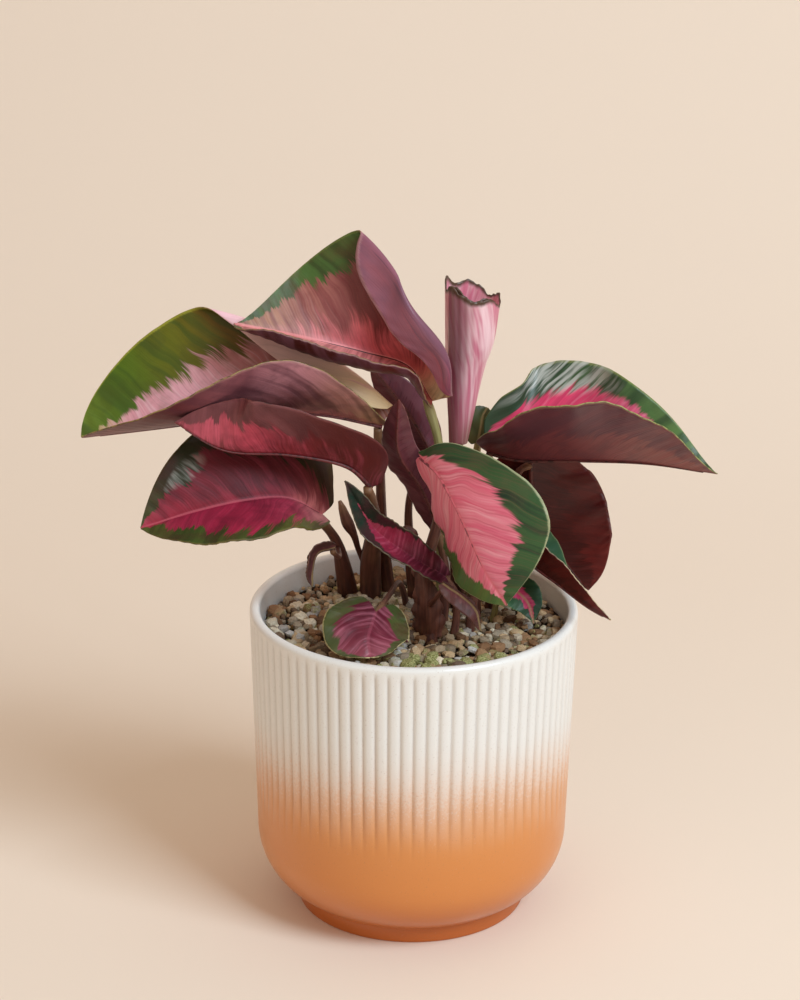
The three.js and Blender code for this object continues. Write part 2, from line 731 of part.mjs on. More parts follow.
// Rows close up towards both ends of a blade
const easedShare = (share) => share - ROW_EASE * Math.sin(2 * Math.PI * share);

function bladeGrid(leaf) {
  const midrib = midribOf(leaf);
  const [rows, half] = leaf.cells;
  const left = Array.from({ length: half }, (_, j) => j / half - 1);
  return Array.from({ length: rows + 1 }, (_, i) => {
    const u = easedShare(i / rows);
    return [...left, ...rightColumns(leaf, midrib, u)].map((v) => bladePoint(leaf, midrib, u, v));
  });
}

function scrollGrid(scroll) {
  const axis = curveThrough(scroll.axis);
  const [rows, columns] = scroll.cells;
  const start = THREE.MathUtils.degToRad(scroll.seam);
  return Array.from({ length: rows + 1 }, (_, i) =>
    Array.from({ length: columns + 1 }, (__, j) => {
      const u = i / rows;
      const turned = (scroll.turns * j) / columns;
      const angle = start + 2 * Math.PI * turned;
      const r = along(scroll.radius, u) - scroll.pitch * turned;
      const torn = scroll.raggedness * u ** 6 * (Math.sin(5 * angle) - 2.4 * Math.cos(angle));
      return axis.getPoint(u).add(new THREE.Vector3(r * Math.cos(angle), r * Math.sin(angle), torn));
    }),
  );
}

// Spent sheaths on the front stalk, curved strips with ruffled tops: one round its foot, one higher up
const SHEATHS = [
  {
    stalk: "stalk_front",
    midrib: [[7, -15, 126.2], [6, -15.5, 136], [5, -14.5, 147], [3, -12, 157]],
    face: [0, 1, 0.1],
    half: [9, 9],
    base: [0.12, 0.12],
    tip: [0.8, 0.6],
    sweep: [0, 0],
    lift: [[5], [5]],
    curl: [[75], [75]],
    lobe: 0,
    wave: { height: 0.8, count: 4, phase: 0 },
    cells: [9, 4],
  },
  {
    stalk: "stalk_front",
    midrib: [[4, -7, 150], [1, -6, 158], [-2, -4, 166], [-4, -2, 172]],
    face: [0, 1, 0.1],
    half: [5, 6],
    base: [0.5, 0.5],
    tip: [0.4, 0.4],
    sweep: [0, 0],
    lift: [[15], [15]],
    curl: [[60], [60]],
    lobe: 0,
    wave: { height: 1.2, count: 3, phase: 1 },
    cells: [6, 2],
  },
];

// Side stems grown as one with their stalk: a shrivelled bud, and the stems of the two drooping brown leaves
const SIDE_STEMS = [
  { stalk: "stalk_left_middle", radius: [1.1, 1.2, 1.6, 2.6, 0.8],
    points: [[-20, 27, 139], [-24, 24, 151], [-26, 21, 159], [-29, 19, 166], [-32, 17, 176]] },
  { stalk: "stalk_left_lower", leaf: "leaf_droop_left", radius: [1.2, 1.1, 1],
    points: [[-33, 17, 155], [-32, 3, 156]] },
  { stalk: "stalk_front", leaf: "leaf_droop_front", radius: [1.4, 1.2, 1],
    points: [[5.5, -10, 138], [9, -22, 148]] },
];

function tube(points, radius, rows, extra = 0) {
  const curve = curveThrough(points);
  const rings = [[curve.getPoint(0)]];
  for (let i = 0; i <= rows; i += 1) {
    const t = i / rows;
    const centre = curve.getPoint(t);
    const ahead = curve.getTangent(t);
    const across = ahead.clone().cross(new THREE.Vector3(1, 0, 0)).normalize();
    const out = ahead.clone().cross(across);
    const r = along(radius, t) + extra;
    rings.push(
      Array.from({ length: STALK_SIDES }, (_, k) => {
        const angle = (2 * Math.PI * k) / STALK_SIDES;
        return centre
          .clone()
          .addScaledVector(across, r * Math.cos(angle))
          .addScaledVector(out, r * Math.sin(angle));
      }),
    );
  }
  rings.push([curve.getPoint(1)]);
  return loft(rings);
}

// Where a stem ends: just clear of the underside of its blade, or of the foot of the scroll
function stemEnd(stem) {
  if (!stem.leaf) return [];
  if (stem.leaf === SCROLL.name) {
    const [x, y, z] = SCROLL.axis[0];
    return [[x, y, z - BLADE_THICKNESS / 2 - GAP]];
  }
  const { point, ahead, up, across } = midribAt(midribOf(LEAVES.find((leaf) => leaf.name === stem.leaf)), 0);
  const below = stem.radius[stem.radius.length - 1] + BLADE_THICKNESS / 2 + GAP;
  point.addScaledVector(up, -below).addScaledVector(ahead, STALK_OVERLAP);
  return [point.addScaledVector(across, stem.aside ?? 0).toArray()];
}

function stalkPath(stalk, lowering = 0) {
  const [x, y] = stalk.foot;
  return [[x, y, STALK_FOOT - lowering], [x, y, STALK_MOUTH], ...stalk.points, ...stemEnd(stalk)];
}

const stalkRadii = (stalk) => [stalk.radius[0], ...stalk.radius];

function makeStalk(stalk) {
  const pieces = [tube(stalkPath(stalk), stalkRadii(stalk), STALK_ROWS)];
  for (const sheath of SHEATHS.filter((one) => one.stalk === stalk.name)) {
    pieces.push(sheet(bladeGrid(sheath), 2 * BLADE_THICKNESS));
  }
  for (const stem of SIDE_STEMS.filter((one) => one.stalk === stalk.name)) {
    pieces.push(tube([...stem.points, ...stemEnd(stem)], stem.radius, SIDE_STEM_ROWS));
  }
  return fromManifold(united(pieces));
}

// The plain holes that the stalks stand in
const holes = united(STALKS.map((stalk) => tube(stalkPath(stalk, GAP), stalkRadii(stalk), STALK_ROWS, GAP)));
const feet = STALKS.map((stalk) => ({ x: stalk.foot[0], y: stalk.foot[1], radius: stalk.radius[0] }));
feet.push(SHEATH_CLEARING);

const plant = new THREE.Group();
plant.name = "rosy_calathea";

function addPiece(name, geometry, color, roughness) {
  const material = new THREE.MeshStandardMaterial({ color, roughness, metalness: 0 });
  const mesh = new THREE.Mesh(geometry, material);
  mesh.name = name;
  geometry.computeVertexNormals();
  plant.add(mesh);
}

addPiece("pot", makePot(), GLAZE.color, GLAZE.roughness);
addPiece("soil", makeSoil(holes), SOIL.color, SOIL.roughness);
addPiece("gravel", makeGravel(holes, feet), GRAVEL.color, GRAVEL.roughness);
for (const leaf of LEAVES) {
  addPiece(leaf.name, sheet(bladeGrid(leaf), BLADE_THICKNESS), leaf.color, LEAF_ROUGHNESS);
}
addPiece(SCROLL.name, sheet(scrollGrid(SCROLL), BLADE_THICKNESS), SCROLL.color, LEAF_ROUGHNESS);
for (const stalk of STALKS) addPiece(stalk.name, makeStalk(stalk), stalk.color, STALK_ROUGHNESS);

export default plant;
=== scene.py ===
"""Rosy calathea in a fluted, two-tone glazed pot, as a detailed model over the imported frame.

Sizes in the dataclasses are millimetres and degrees, as in the frame's own source. Meshes are
written in metres. The axis of the pot is X = Y = 0, its foot stands on Z = 0, and -Y is the front.
"""

import logging
import math
from collections.abc import Callable, Iterator, Sequence
from dataclasses import dataclass, field, replace
from enum import Enum
from typing import Any

import bpy
import numpy as np
from mathutils import Matrix, Vector


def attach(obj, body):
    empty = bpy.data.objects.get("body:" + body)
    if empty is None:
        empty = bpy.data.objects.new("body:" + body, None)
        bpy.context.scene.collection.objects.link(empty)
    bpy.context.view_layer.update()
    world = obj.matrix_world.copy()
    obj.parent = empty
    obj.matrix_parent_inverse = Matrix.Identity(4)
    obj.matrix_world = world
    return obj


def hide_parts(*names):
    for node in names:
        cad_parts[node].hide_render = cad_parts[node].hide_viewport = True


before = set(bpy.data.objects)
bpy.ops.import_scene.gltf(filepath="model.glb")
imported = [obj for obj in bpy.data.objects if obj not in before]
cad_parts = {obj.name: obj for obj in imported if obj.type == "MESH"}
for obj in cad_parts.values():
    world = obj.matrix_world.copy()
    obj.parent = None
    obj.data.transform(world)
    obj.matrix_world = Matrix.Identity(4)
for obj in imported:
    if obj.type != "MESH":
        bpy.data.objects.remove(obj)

Array = np.ndarray
Piece = bpy.types.Object
Material = bpy.types.Material
Socket = bpy.types.NodeSocket
Value = Socket | float
Point = tuple[float, float, float]
Pair = tuple[float, float]
Rgb = tuple[int, int, int]
Linear = tuple[float, float, float]
Tones = tuple[Rgb, ...]
Stops = tuple[tuple[float, Rgb], ...]

LOG = logging.getLogger("rosy_calathea")
MM = 0.001
BODY = "root"
SEED = 7351

# Side veins: how far they lean towards the tip per millimetre across, how much more further out,
# how far they wander, and the way from one to the next, also for the fine ones between
VEIN_LEAN = 0.62
VEIN_CURVE = 0.006
VEIN_DRIFT = 9.0
VEIN_SPACING = 6.2
HAIR_SPACING = 1.5


class Slot(Enum):
    """Material slots of the record."""

    GLAZE = "glaze"
    GRAVEL = "gravel"
    LEAF_BLADE = "leaf_blade"
    DRY_LEAF = "dry_leaf"
    NEW_LEAF = "new_leaf"
    STALK = "stalk"
    PALE_STALK = "pale_stalk"


# ---- Modelling helpers ----


def stacked(*values: Array | float) -> Array:
    """Numbers of shapes that match, side by side along a new last axis."""
    return np.stack(np.broadcast_arrays(*values), axis=-1)


def full_turn(count: int) -> Array:
    """Angles evenly spread over a full turn."""
    return 2 * np.pi * np.arange(count) / count


def rings_along(middle: Array, first: Array, second: Array, x: Array, y: Array) -> Array:
    """Rings of points about a middle line.

    Args:
        middle: One point for each ring.
        first: First way across the line at each ring.
        second: Second way across it.
        x: Distances along the first way, rings by points.
        y: Distances along the second way.

    Returns:
        Rings by points.
    """
    return middle[:, None] + first[:, None] * x[..., None] + second[:, None] * y[..., None]


def select_only(piece: Piece) -> None:
    """Selects one object and makes it the active one.

    Args:
        piece: The object to work on.
    """
    bpy.ops.object.select_all(action="DESELECT")
    piece.select_set(True)
    bpy.context.view_layer.objects.active = piece


def edit(piece: Piece, *steps: Callable[[], Any]) -> None:
    """Runs edit-mode operators on everything in a piece.

    Args:
        piece: The object to edit.
        steps: Calls made in order, each with the whole mesh selected.
    """
    select_only(piece)
    bpy.ops.object.mode_set(mode="EDIT")
    for step in steps:
        bpy.ops.mesh.select_all(action="SELECT")
        step()
    bpy.ops.object.mode_set(mode="OBJECT")


def finish_modifiers(piece: Piece) -> None:
    """Applies every modifier of a piece, in order.

    Args:
        piece: The object whose modifiers are applied.
    """
    select_only(piece)
    for modifier in list(piece.modifiers):
        bpy.ops.object.modifier_apply(modifier=modifier.name)


def place_vertices(piece: Piece, points: Array) -> None:
    """Writes the vertices of a piece from points in millimetres.

    Args:
        piece: The mesh object.
        points: One point for each vertex, in any leading shape.
    """
    piece.data.vertices.foreach_set("co", (points.reshape(-1, 3) * MM).astype(np.float32).ravel())
    piece.data.update()


def vertices_of(piece: Piece) -> Array:
    """Reads where the vertices of a piece are.

    Args:
        piece: The mesh object.

    Returns:
        Their places in millimetres, one row each.
    """
    values = np.empty(len(piece.data.vertices) * 3, dtype=np.float32)
    piece.data.vertices.foreach_get("co", values)
    return values.reshape(-1, 3) / MM


def write_attribute(piece: Piece, name: str, values: Array) -> None:
    """Writes a number for each vertex of a piece.

    Args:
        piece: The mesh object.
        name: Name of the attribute.
        values: One number for each vertex.
    """
    attribute = piece.data.attributes.new(name, "FLOAT", "POINT")
    attribute.data.foreach_set("value", values.astype(np.float32))


def write_uv(piece: Piece, name: str, values: Array) -> None:
    """Writes one UV map of a piece from values given for each vertex.

    Args:
        piece: The mesh object.
        name: Name of the map, made where it isn't there.
        values: Two numbers for each vertex, in any leading shape.
    """
    mesh = piece.data
    layer = mesh.uv_layers.get(name) or mesh.uv_layers.new(name=name)
    corners = np.empty(len(mesh.loops), dtype=np.int64)
    mesh.loops.foreach_get("vertex_index", corners)
    layer.data.foreach_set("uv", values.reshape(-1, 2)[corners].astype(np.float32).ravel())


def grid_piece(name: str, points: Array, uv: dict[str, Array]) -> Piece:
    """Makes a smooth sheet from a grid primitive whose vertices are placed by formula.

    Args:
        name: Name of the piece.
        points: Rows by columns of points, in millimetres.
        uv: UV maps by name, rows by columns of two numbers each.

    Returns:
        The new object, at the origin.
    """
    rows, columns = points.shape[:2]
    bpy.ops.object.select_all(action="DESELECT")
    bpy.ops.mesh.primitive_grid_add(x_subdivisions=columns - 1, y_subdivisions=rows - 1, size=MM)
    piece = bpy.context.object
    piece.name = name
    piece.data.name = name
    piece.data.uv_layers.remove(piece.data.uv_layers[0])
    place_vertices(piece, points)
    for layer, values in uv.items():
        write_uv(piece, layer, values)
    bpy.ops.object.shade_smooth()
    return piece


def ringed_piece(name: str, rings: Array, uv: dict[str, Array]) -> Piece:
    """Makes a closed turned or swept body from rings of points, each end drawn to a pole.

    Args:
        name: Name of the piece.
        rings: Rings by points of a ring, the first point not repeated, in millimetres.
        uv: UV maps by name, rings by points plus one of two numbers each.

    Returns:
        The new object, closed, with its faces outwards.
    """
    seam = np.concatenate([rings, rings[:, :1]], axis=1)
    ends = [np.repeat(ring.mean(axis=0)[None, None], seam.shape[1], axis=1) for ring in (rings[0], rings[-1])]
    closed = np.concatenate([ends[0], seam, ends[1]], axis=0)
    maps = {key: np.concatenate([value[:1], value, value[-1:]], axis=0) for key, value in uv.items()}
    piece = grid_piece(name, closed, maps)
    edit(
        piece,
        lambda: bpy.ops.mesh.remove_doubles(threshold=1e-7),
        lambda: bpy.ops.mesh.normals_make_consistent(inside=False),
    )
    return piece


def thicken(piece: Piece, thickness: float, **settings: Any) -> None:
    """Makes a closed wall of a sheet, half of it on each side.

    Args:
        piece: The sheet.
        thickness: Thickness in millimetres.
        settings: More properties of the modifier.
    """
    wall = piece.modifiers.new("thickness", "SOLIDIFY")
    wall.thickness = thickness * MM
    wall.offset = 0.0
    for key, value in settings.items():
        setattr(wall, key, value)
    finish_modifiers(piece)


def join_pieces(name: str, pieces: Sequence[Piece]) -> Piece:
    """Joins several objects into one piece.

    Args:
        name: Name of the joined piece.
        pieces: The objects, of which the first one stays.

    Returns:
        The joined object.
    """
    bpy.ops.object.select_all(action="DESELECT")
    for piece in pieces:
        piece.select_set(True)
    bpy.context.view_layer.objects.active = pieces[0]
    bpy.ops.object.join()
    pieces[0].name = name
    pieces[0].data.name = name
    return pieces[0]


def dress(piece: Piece, *materials: Material) -> None:
    """Gives a piece its materials, in order."""
    for material in materials:
        piece.data.materials.append(material)


def settle(piece: Piece, slot: Slot, *nodes: str) -> None:
    """Rides a piece on the body and hides the nodes that it stands for.

    Args:
        piece: The finished piece.
        slot: Material slot of the record; not used.
        nodes: CAD nodes that the piece replaces.
    """
    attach(piece, BODY)
    if nodes:
        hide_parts(*nodes)
    LOG.info("%s: %d faces", piece.name, len(piece.data.polygons))


# ---- Curves ----


def eased(values: Sequence[Any], share: Array | float) -> Array:
    """Values or points on a smooth curve through a list, evenly spread along it.

    Args:
        values: Numbers or points, one or more.
        share: Places on the curve from 0 to 1, in any shape.

    Returns:
        The values at those places.
    """
    knots = np.asarray(values, dtype=float)
    share = np.asarray(share, dtype=float)
    if len(knots) == 1:
        return np.broadcast_to(knots[0], share.shape + knots.shape[1:])
    knots = np.concatenate([[2 * knots[0] - knots[1]], knots, [2 * knots[-1] - knots[-2]]])
    at = np.clip(share, 0, 1) * (len(knots) - 3)
    first = np.minimum(at.astype(int), len(knots) - 4)
    t = (at - first).reshape(share.shape + (1,) * (knots.ndim - 1))
    a, b, c, d = (knots[first + k] for k in range(4))
    return 0.5 * (
        2 * b + (c - a) * t + (2 * a - 5 * b + 4 * c - d) * t**2 + (3 * b - a - 3 * c + d) * t**3
    )


def unit(vectors: Array) -> Array:
    """Vectors of length one along the last axis."""
    return vectors / np.linalg.norm(vectors, axis=-1, keepdims=True)


@dataclass
class Midrib:
    """The midrib of a blade, with the ways along it, across it and out of the upper side."""

    path: tuple[Point, ...]
    face: Point
    samples: int = 80
    points: Array = field(init=False)
    ahead: Array = field(init=False)
    up: Array = field(init=False)
    across: Array = field(init=False)
    lengths: Array = field(init=False)

    def __post_init__(self) -> None:
        """Samples the curve and its frames."""
        self.points = eased(self.path, np.linspace(0, 1, self.samples + 1))
        index = np.arange(self.samples + 1)
        after = self.points[np.minimum(index + 1, self.samples)]
        self.ahead = unit(after - self.points[np.maximum(index - 1, 0)])
        face = unit(np.asarray(self.face, dtype=float))
        self.up = unit(face - self.ahead * (self.ahead @ face)[:, None])
        self.across = np.cross(self.ahead, self.up)
        steps = np.linalg.norm(np.diff(self.points, axis=0), axis=1)
        self.lengths = np.concatenate([[0], np.cumsum(steps)])

    @property
    def length(self) -> float:
        """Length of the midrib in millimetres."""
        return float(self.lengths[-1])

    def at(self, distance: Array) -> tuple[Array, Array, Array, Array]:
        """Frames at distances along the midrib, carried on straight past its ends.

        Args:
            distance: Distances from the base in millimetres, in any shape.

        Returns:
            Points, and the ways ahead, up and across.
        """
        held = np.clip(distance, 0, self.length)
        first = np.clip(np.searchsorted(self.lengths, held, side="left") - 1, 0, self.samples - 1)
        t = (held - self.lengths[first]) / (self.lengths[first + 1] - self.lengths[first])
        t = t[..., None]
        point, ahead, up, across = (
            part[first] * (1 - t) + part[first + 1] * t
            for part in (self.points, self.ahead, self.up, self.across)
        )
        return point + ahead * (distance - held)[..., None], ahead, up, across


# ---- Finishes ----


def paint(colour: Rgb) -> tuple[float, float, float, float]:
    """Linear colour with full alpha from display values.

    Args:
        colour: Red, green and blue from 0 to 255 as a screen shows them.

    Returns:
        The colour as Blender's sockets take it.
    """
    shares = [value / 255 for value in colour]
    linear = [s / 12.92 if s <= 0.04045 else ((s + 0.055) / 1.055) ** 2.4 for s in shares]
    return (linear[0], linear[1], linear[2], 1.0)


@dataclass
class Nodes:
    """Adds and links nodes in one material or node group."""

    tree: bpy.types.NodeTree

    def add(self, kind: str, **settings: Any) -> bpy.types.Node:
        """Adds a node and sets its properties.

        Args:
            kind: Node type without the leading "ShaderNode".
            settings: Properties of the node.

        Returns:
            The node.
        """
        node = self.tree.nodes.new("ShaderNode" + kind)
        for key, value in settings.items():
            setattr(node, key, value)
        return node

    def feed(self, socket: Socket, value: Value | Rgb | Sequence[float]) -> None:
        """Links a socket to another, or sets its own value.

        Args:
            socket: Input socket.
            value: Output socket or a plain value.
        """
        if isinstance(value, bpy.types.NodeSocket):
            self.tree.links.new(value, socket)
        else:
            socket.default_value = value

    def math(self, operation: str, first: Value, second: Value = 0.0, clamp: bool = False) -> Socket:
        """Adds a Math node.

        Args:
            operation: Name of the operation.
            first: First operand.
            second: Second operand.
            clamp: Keeps the result from 0 to 1.

        Returns:
            The result.
        """
        node = self.add("Math", operation=operation, use_clamp=clamp)
        self.feed(node.inputs[0], first)
        self.feed(node.inputs[1], second)
        return node.outputs[0]

    def times(self, first: Value, second: Value) -> Socket:
        """Product of two numbers."""
        return self.math("MULTIPLY", first, second)

    def plus(self, first: Value, second: Value) -> Socket:
        """Sum of two numbers."""
        return self.math("ADD", first, second)

    def minus(self, first: Value, second: Value) -> Socket:
        """First number less the second."""
        return self.math("SUBTRACT", first, second)

    def object_place(self) -> Socket:
        """Place on the object in metres."""
        return self.add("TexCoord").outputs["Object"]

    def parts(self, vector: Socket) -> list[Socket]:
        """The three numbers of a vector."""
        node = self.add("SeparateXYZ")
        self.feed(node.inputs[0], vector)
        return list(node.outputs)

    def uv(self, name: str) -> list[Socket]:
        """The two numbers of a UV map of the piece."""
        return self.parts(self.add("UVMap", uv_map=name).outputs[0])[:2]

    def attribute(self, name: str) -> Socket:
        """A number that the piece holds for each vertex."""
        return self.add("Attribute", attribute_name=name).outputs["Fac"]

    def step(self, value: Value, start: Value, end: Value, low: float = 0.0, high: float = 1.0) -> Socket:
        """Adds a smooth step of a value between two limits.

        Args:
            value: The value that is tested.
            start: Where the result is still low.
            end: Where it has become high.
            low: Result before the step.
            high: Result after the step.

        Returns:
            The result.
        """
        node = self.add("MapRange", interpolation_type="SMOOTHSTEP")
        for index, one in enumerate((value, start, end, low, high)):
            self.feed(node.inputs[index], one)
        return node.outputs[0]

    def mix(self, share: Value, first: Socket | Rgb, second: Socket | Rgb) -> Socket:
        """Mixes two colours.

        Args:
            share: Share of the second colour.
            first: First colour, a socket or display values.
            second: Second colour, a socket or display values.

        Returns:
            The mixed colour.
        """
        node = self.add("Mix", data_type="RGBA")
        self.feed(node.inputs[0], share)
        for index, colour in ((6, first), (7, second)):
            self.feed(node.inputs[index], paint(colour) if isinstance(colour, tuple) else colour)
        return node.outputs[2]

    def choose(self, share: Socket, first: Value, second: Value) -> Socket:
        """Mixes two numbers.

        Args:
            share: Share of the second one.
            first: First number.
            second: Second number.

        Returns:
            The mixed number.
        """
        node = self.add("Mix", data_type="FLOAT")
        for index, value in ((0, share), (2, first), (3, second)):
            self.feed(node.inputs[index], value)
        return node.outputs[0]

    def place(self, x: Value, y: Value, z: Value = 0.0) -> Socket:
        """Makes a vector.

        Args:
            x: Its first number.
            y: Its second number.
            z: Its third number.

        Returns:
            The vector.
        """
        node = self.add("CombineXYZ")
        for socket, value in zip(node.inputs, (x, y, z), strict=True):
            self.feed(socket, value)
        return node.outputs[0]

    def noise(self, vector: Socket, scale: float, detail: float = 2.0, rough: float = 0.5) -> Socket:
        """Adds a noise texture.

        Args:
            vector: Where the texture is read.
            scale: Its scale.
            detail: Levels of finer noise.
            rough: Strength of the finer levels.

        Returns:
            The noise, from 0 to 1.
        """
        node = self.add("TexNoise")
        given = {"Vector": vector, "Scale": scale, "Detail": detail, "Roughness": rough}
        for key, value in given.items():
            self.feed(node.inputs[key], value)
        return node.outputs[0]

    def ramp(self, share: Socket, stops: Stops) -> Socket:
        """Adds a colour ramp.

        Args:
            share: Place on the ramp from 0 to 1.
            stops: Places and display colours in order.

        Returns:
            The colour.
        """
        node = self.add("ValToRGB")
        node.color_ramp.interpolation = "EASE"
        elements = node.color_ramp.elements
        while len(elements) < len(stops):
            elements.new(0.5)
        while len(elements) > len(stops):
            elements.remove(elements[-1])
        for element, (place, colour) in zip(elements, stops, strict=True):
            element.position = place
            element.color = paint(colour)
        self.feed(node.inputs[0], share)
        return node.outputs[0]

    def curve(self, share: Socket, values: Sequence[float]) -> Socket:
        """Adds a float curve through evenly spread values.

        Args:
            share: Place on the curve from 0 to 1.
            values: Two or more values.

        Returns:
            The value on the curve.
        """
        node = self.add("FloatCurve")
        line = node.mapping.curves[0]
        for _ in range(len(values) - 2):
            line.points.new(0.5, 0.5)
        for index, value in enumerate(values):
            line.points[index].location = (index / (len(values) - 1), value)
        node.mapping.update()
        self.feed(node.inputs["Value"], share)
        return node.outputs[0]


@dataclass
class Surface(Nodes):
    """Adds and links nodes in one material, in front of its Principled shader."""

    material: Material
    shader: bpy.types.Node

    @classmethod
    def new(cls, name: str, roughness: float, specular: float = 0.5) -> "Surface":
        """Makes an empty material.

        Args:
            name: Name of the material.
            roughness: Roughness of the surface.
            specular: Specular level.

        Returns:
            The surface.
        """
        material = bpy.data.materials.new(name)
        material.use_nodes = True
        tree = material.node_tree
        surface = cls(tree, material, tree.nodes["Principled BSDF"])
        surface.give("Roughness", roughness)
        surface.give("Specular IOR Level", specular)
        return surface

    def give(self, socket: str, value: Value) -> None:
        """Feeds a socket of the shader."""
        self.feed(self.shader.inputs[socket], value)

    def bump(self, height: Socket, distance: float, strength: float = 1.0) -> None:
        """Gives the surface a bump.

        Args:
            height: Height over the surface, from 0 to 1.
            distance: What a height of 1 means, in millimetres.
            strength: Strength of the effect.
        """
        node = self.add("Bump")
        self.feed(node.inputs["Strength"], strength)
        self.feed(node.inputs["Distance"], distance * MM)
        self.feed(node.inputs["Height"], height)
        self.give("Normal", node.outputs[0])


def new_group(name: str, inputs: Sequence[str], outputs: Sequence[str]) -> tuple[Nodes, Any, Any]:
    """Makes a shader node group with float inputs and outputs.

    Args:
        name: Name of the group.
        inputs: Names of the inputs.
        outputs: Names of the outputs.

    Returns:
        The node helper, the outputs of the input node and the inputs of the output node.
    """
    tree = bpy.data.node_groups.new(name, "ShaderNodeTree")
    for key in inputs:
        tree.interface.new_socket(key, in_out="INPUT", socket_type="NodeSocketFloat")
    for key in outputs:
        tree.interface.new_socket(key, in_out="OUTPUT", socket_type="NodeSocketFloat")
    return Nodes(tree), tree.nodes.new("NodeGroupInput").outputs, tree.nodes.new("NodeGroupOutput").inputs


PATTERN_INPUTS = ("Along", "Across", "Half share", "Reach", "Core reach", "Feather", "Lobe", "Seed")
PATTERN_MASKS = (
    "Zone", "Core", "Bands", "Streaks", "Ribbons", "Mottle",
    "Side veins", "Fine veins", "Midrib", "Margin", "Gloss", "Height",
)

# Width and length of a stroke in millimetres, detail of its noise, where the mask starts and is full
STROKES = (
    ("Bands", 5.5, 70.0, 1.5, 0.4, 0.62),
    ("Streaks", 1.6, 18.0, 3.0, 0.45, 0.72),
    ("Ribbons", 3.6, 44.0, 2.0, 0.42, 0.6),
    # Streaks of the painted highlight, pale reflections painted into the colour
    ("Gloss", 2.4, 16.0, 3.0, 0.4, 0.62),
)


def leaf_pattern() -> bpy.types.NodeTree:
    """The markings that all blades share, each as a mask, and the height of the surface.

    Inputs are the distances along and across the flat blade in millimetres, the share of the half
    width, how far the feathered zone and the core by the midrib reach, how deep the feathers of their
    edges are and how wide in millimetres, and a seed. Bands, streaks, ribbons and the painted
    highlight, a pale reflection painted into the colour, are strokes along the side veins, from broad
    to narrow. Mottle is in patches.

    Returns:
        The node group.
    """
    nodes, given, out = new_group("LeafPattern", PATTERN_INPUTS, PATTERN_MASKS)
    aside = nodes.math("ABSOLUTE", given["Across"])
    flat = nodes.place(given["Along"], given["Across"], given["Seed"])
    drift = nodes.times(nodes.minus(nodes.noise(flat, 0.055, 1.0), 0.5), VEIN_DRIFT)
    curved = nodes.times(nodes.times(aside, aside), VEIN_CURVE)
    lean = nodes.plus(nodes.times(aside, VEIN_LEAN), nodes.plus(curved, drift))
    start = nodes.minus(given["Along"], lean)

    def stroke(width: Value, length: float, detail: float = 2.0) -> Socket:
        """Noise drawn out along the side veins.

        Args:
            width: Width of a stroke in millimetres.
            length: Its length in millimetres.
            detail: Levels of finer noise.

        Returns:
            The noise.
        """
        across = nodes.math("DIVIDE", start, width)
        place = nodes.place(across, nodes.math("DIVIDE", given["Across"], length), given["Seed"])
        return nodes.noise(place, 1.0, detail)

    coarse = nodes.minus(stroke(given["Lobe"], 26.0, 1.0), 0.5)
    fine = nodes.minus(stroke(0.8, 9.0), 0.5)
    ragged = nodes.plus(coarse, nodes.times(fine, 0.5))
    feather = nodes.times(nodes.times(ragged, given["Feather"]), 2.4)

    def zone(reach: Socket, soft: float) -> Socket:
        """A zone from the midrib outwards with a feathered edge of a softness."""
        edge = nodes.minus(nodes.plus(reach, feather), given["Half share"])
        return nodes.step(edge, -soft, soft)

    nodes.feed(out["Zone"], zone(given["Reach"], 0.05))
    nodes.feed(out["Core"], zone(given["Core reach"], 0.14))
    for mask, width, length, detail, start_at, full_at in STROKES:
        nodes.feed(out[mask], nodes.step(stroke(width, length, detail), start_at, full_at))
    nodes.feed(out["Mottle"], nodes.step(nodes.noise(flat, 0.09, 3.0, 0.55), 0.4, 0.66))

    def lines(spacing: float, width: float) -> Socket:
        """Lines along the side veins.

        Args:
            spacing: Way from one line to the next in millimetres.
            width: Share of the spacing that half a line covers.

        Returns:
            The mask.
        """
        wobble = nodes.times(nodes.minus(stroke(9.0, 40.0), 0.5), 1.1)
        share = nodes.math("FRACT", nodes.plus(nodes.math("DIVIDE", start, spacing), wobble))
        off = nodes.math("ABSOLUTE", nodes.minus(share, 0.5))
        return nodes.step(off, width, 0.0)

    side = lines(VEIN_SPACING, 0.1)
    hair = lines(HAIR_SPACING, 0.35)
    broken = nodes.times(hair, nodes.step(stroke(2.0, 20.0), 0.35, 0.65))
    nodes.feed(out["Side veins"], side)
    nodes.feed(out["Fine veins"], broken)
    nodes.feed(out["Midrib"], nodes.step(aside, 1.0, 0.35))
    rim = nodes.plus(given["Half share"], nodes.times(fine, 0.03))
    nodes.feed(out["Margin"], nodes.step(rim, 0.965, 0.99))
    swell = nodes.plus(nodes.times(hair, -0.3), nodes.times(side, -0.5))
    nodes.feed(out["Height"], nodes.plus(swell, nodes.times(nodes.noise(flat, 1.3), 0.6)))
    return nodes.tree


def spread(tones: Tones) -> Stops:
    """Colours with their places, evenly from 0 to 1."""
    return tuple((index / (len(tones) - 1), colour) for index, colour in enumerate(tones))


# Colour of the painted highlights, pale reflections of the light painted onto glossy blades
PAINTED_HIGHLIGHT_COLOUR = (212, 214, 206)


@dataclass(frozen=True)
class HalfFinish:
    """Colours of one half of a blade's face, from the base to the tip.

    The inner zone and the core lie along the midrib, and their reach is a share of the half width.
    """

    outer: Tones
    inner: Tones
    reach: tuple[float, ...] = (0.0, 0.0)
    core: Tones | None = None
    core_reach: tuple[float, ...] = (0.0, 0.0)
    marks: float = 1.0


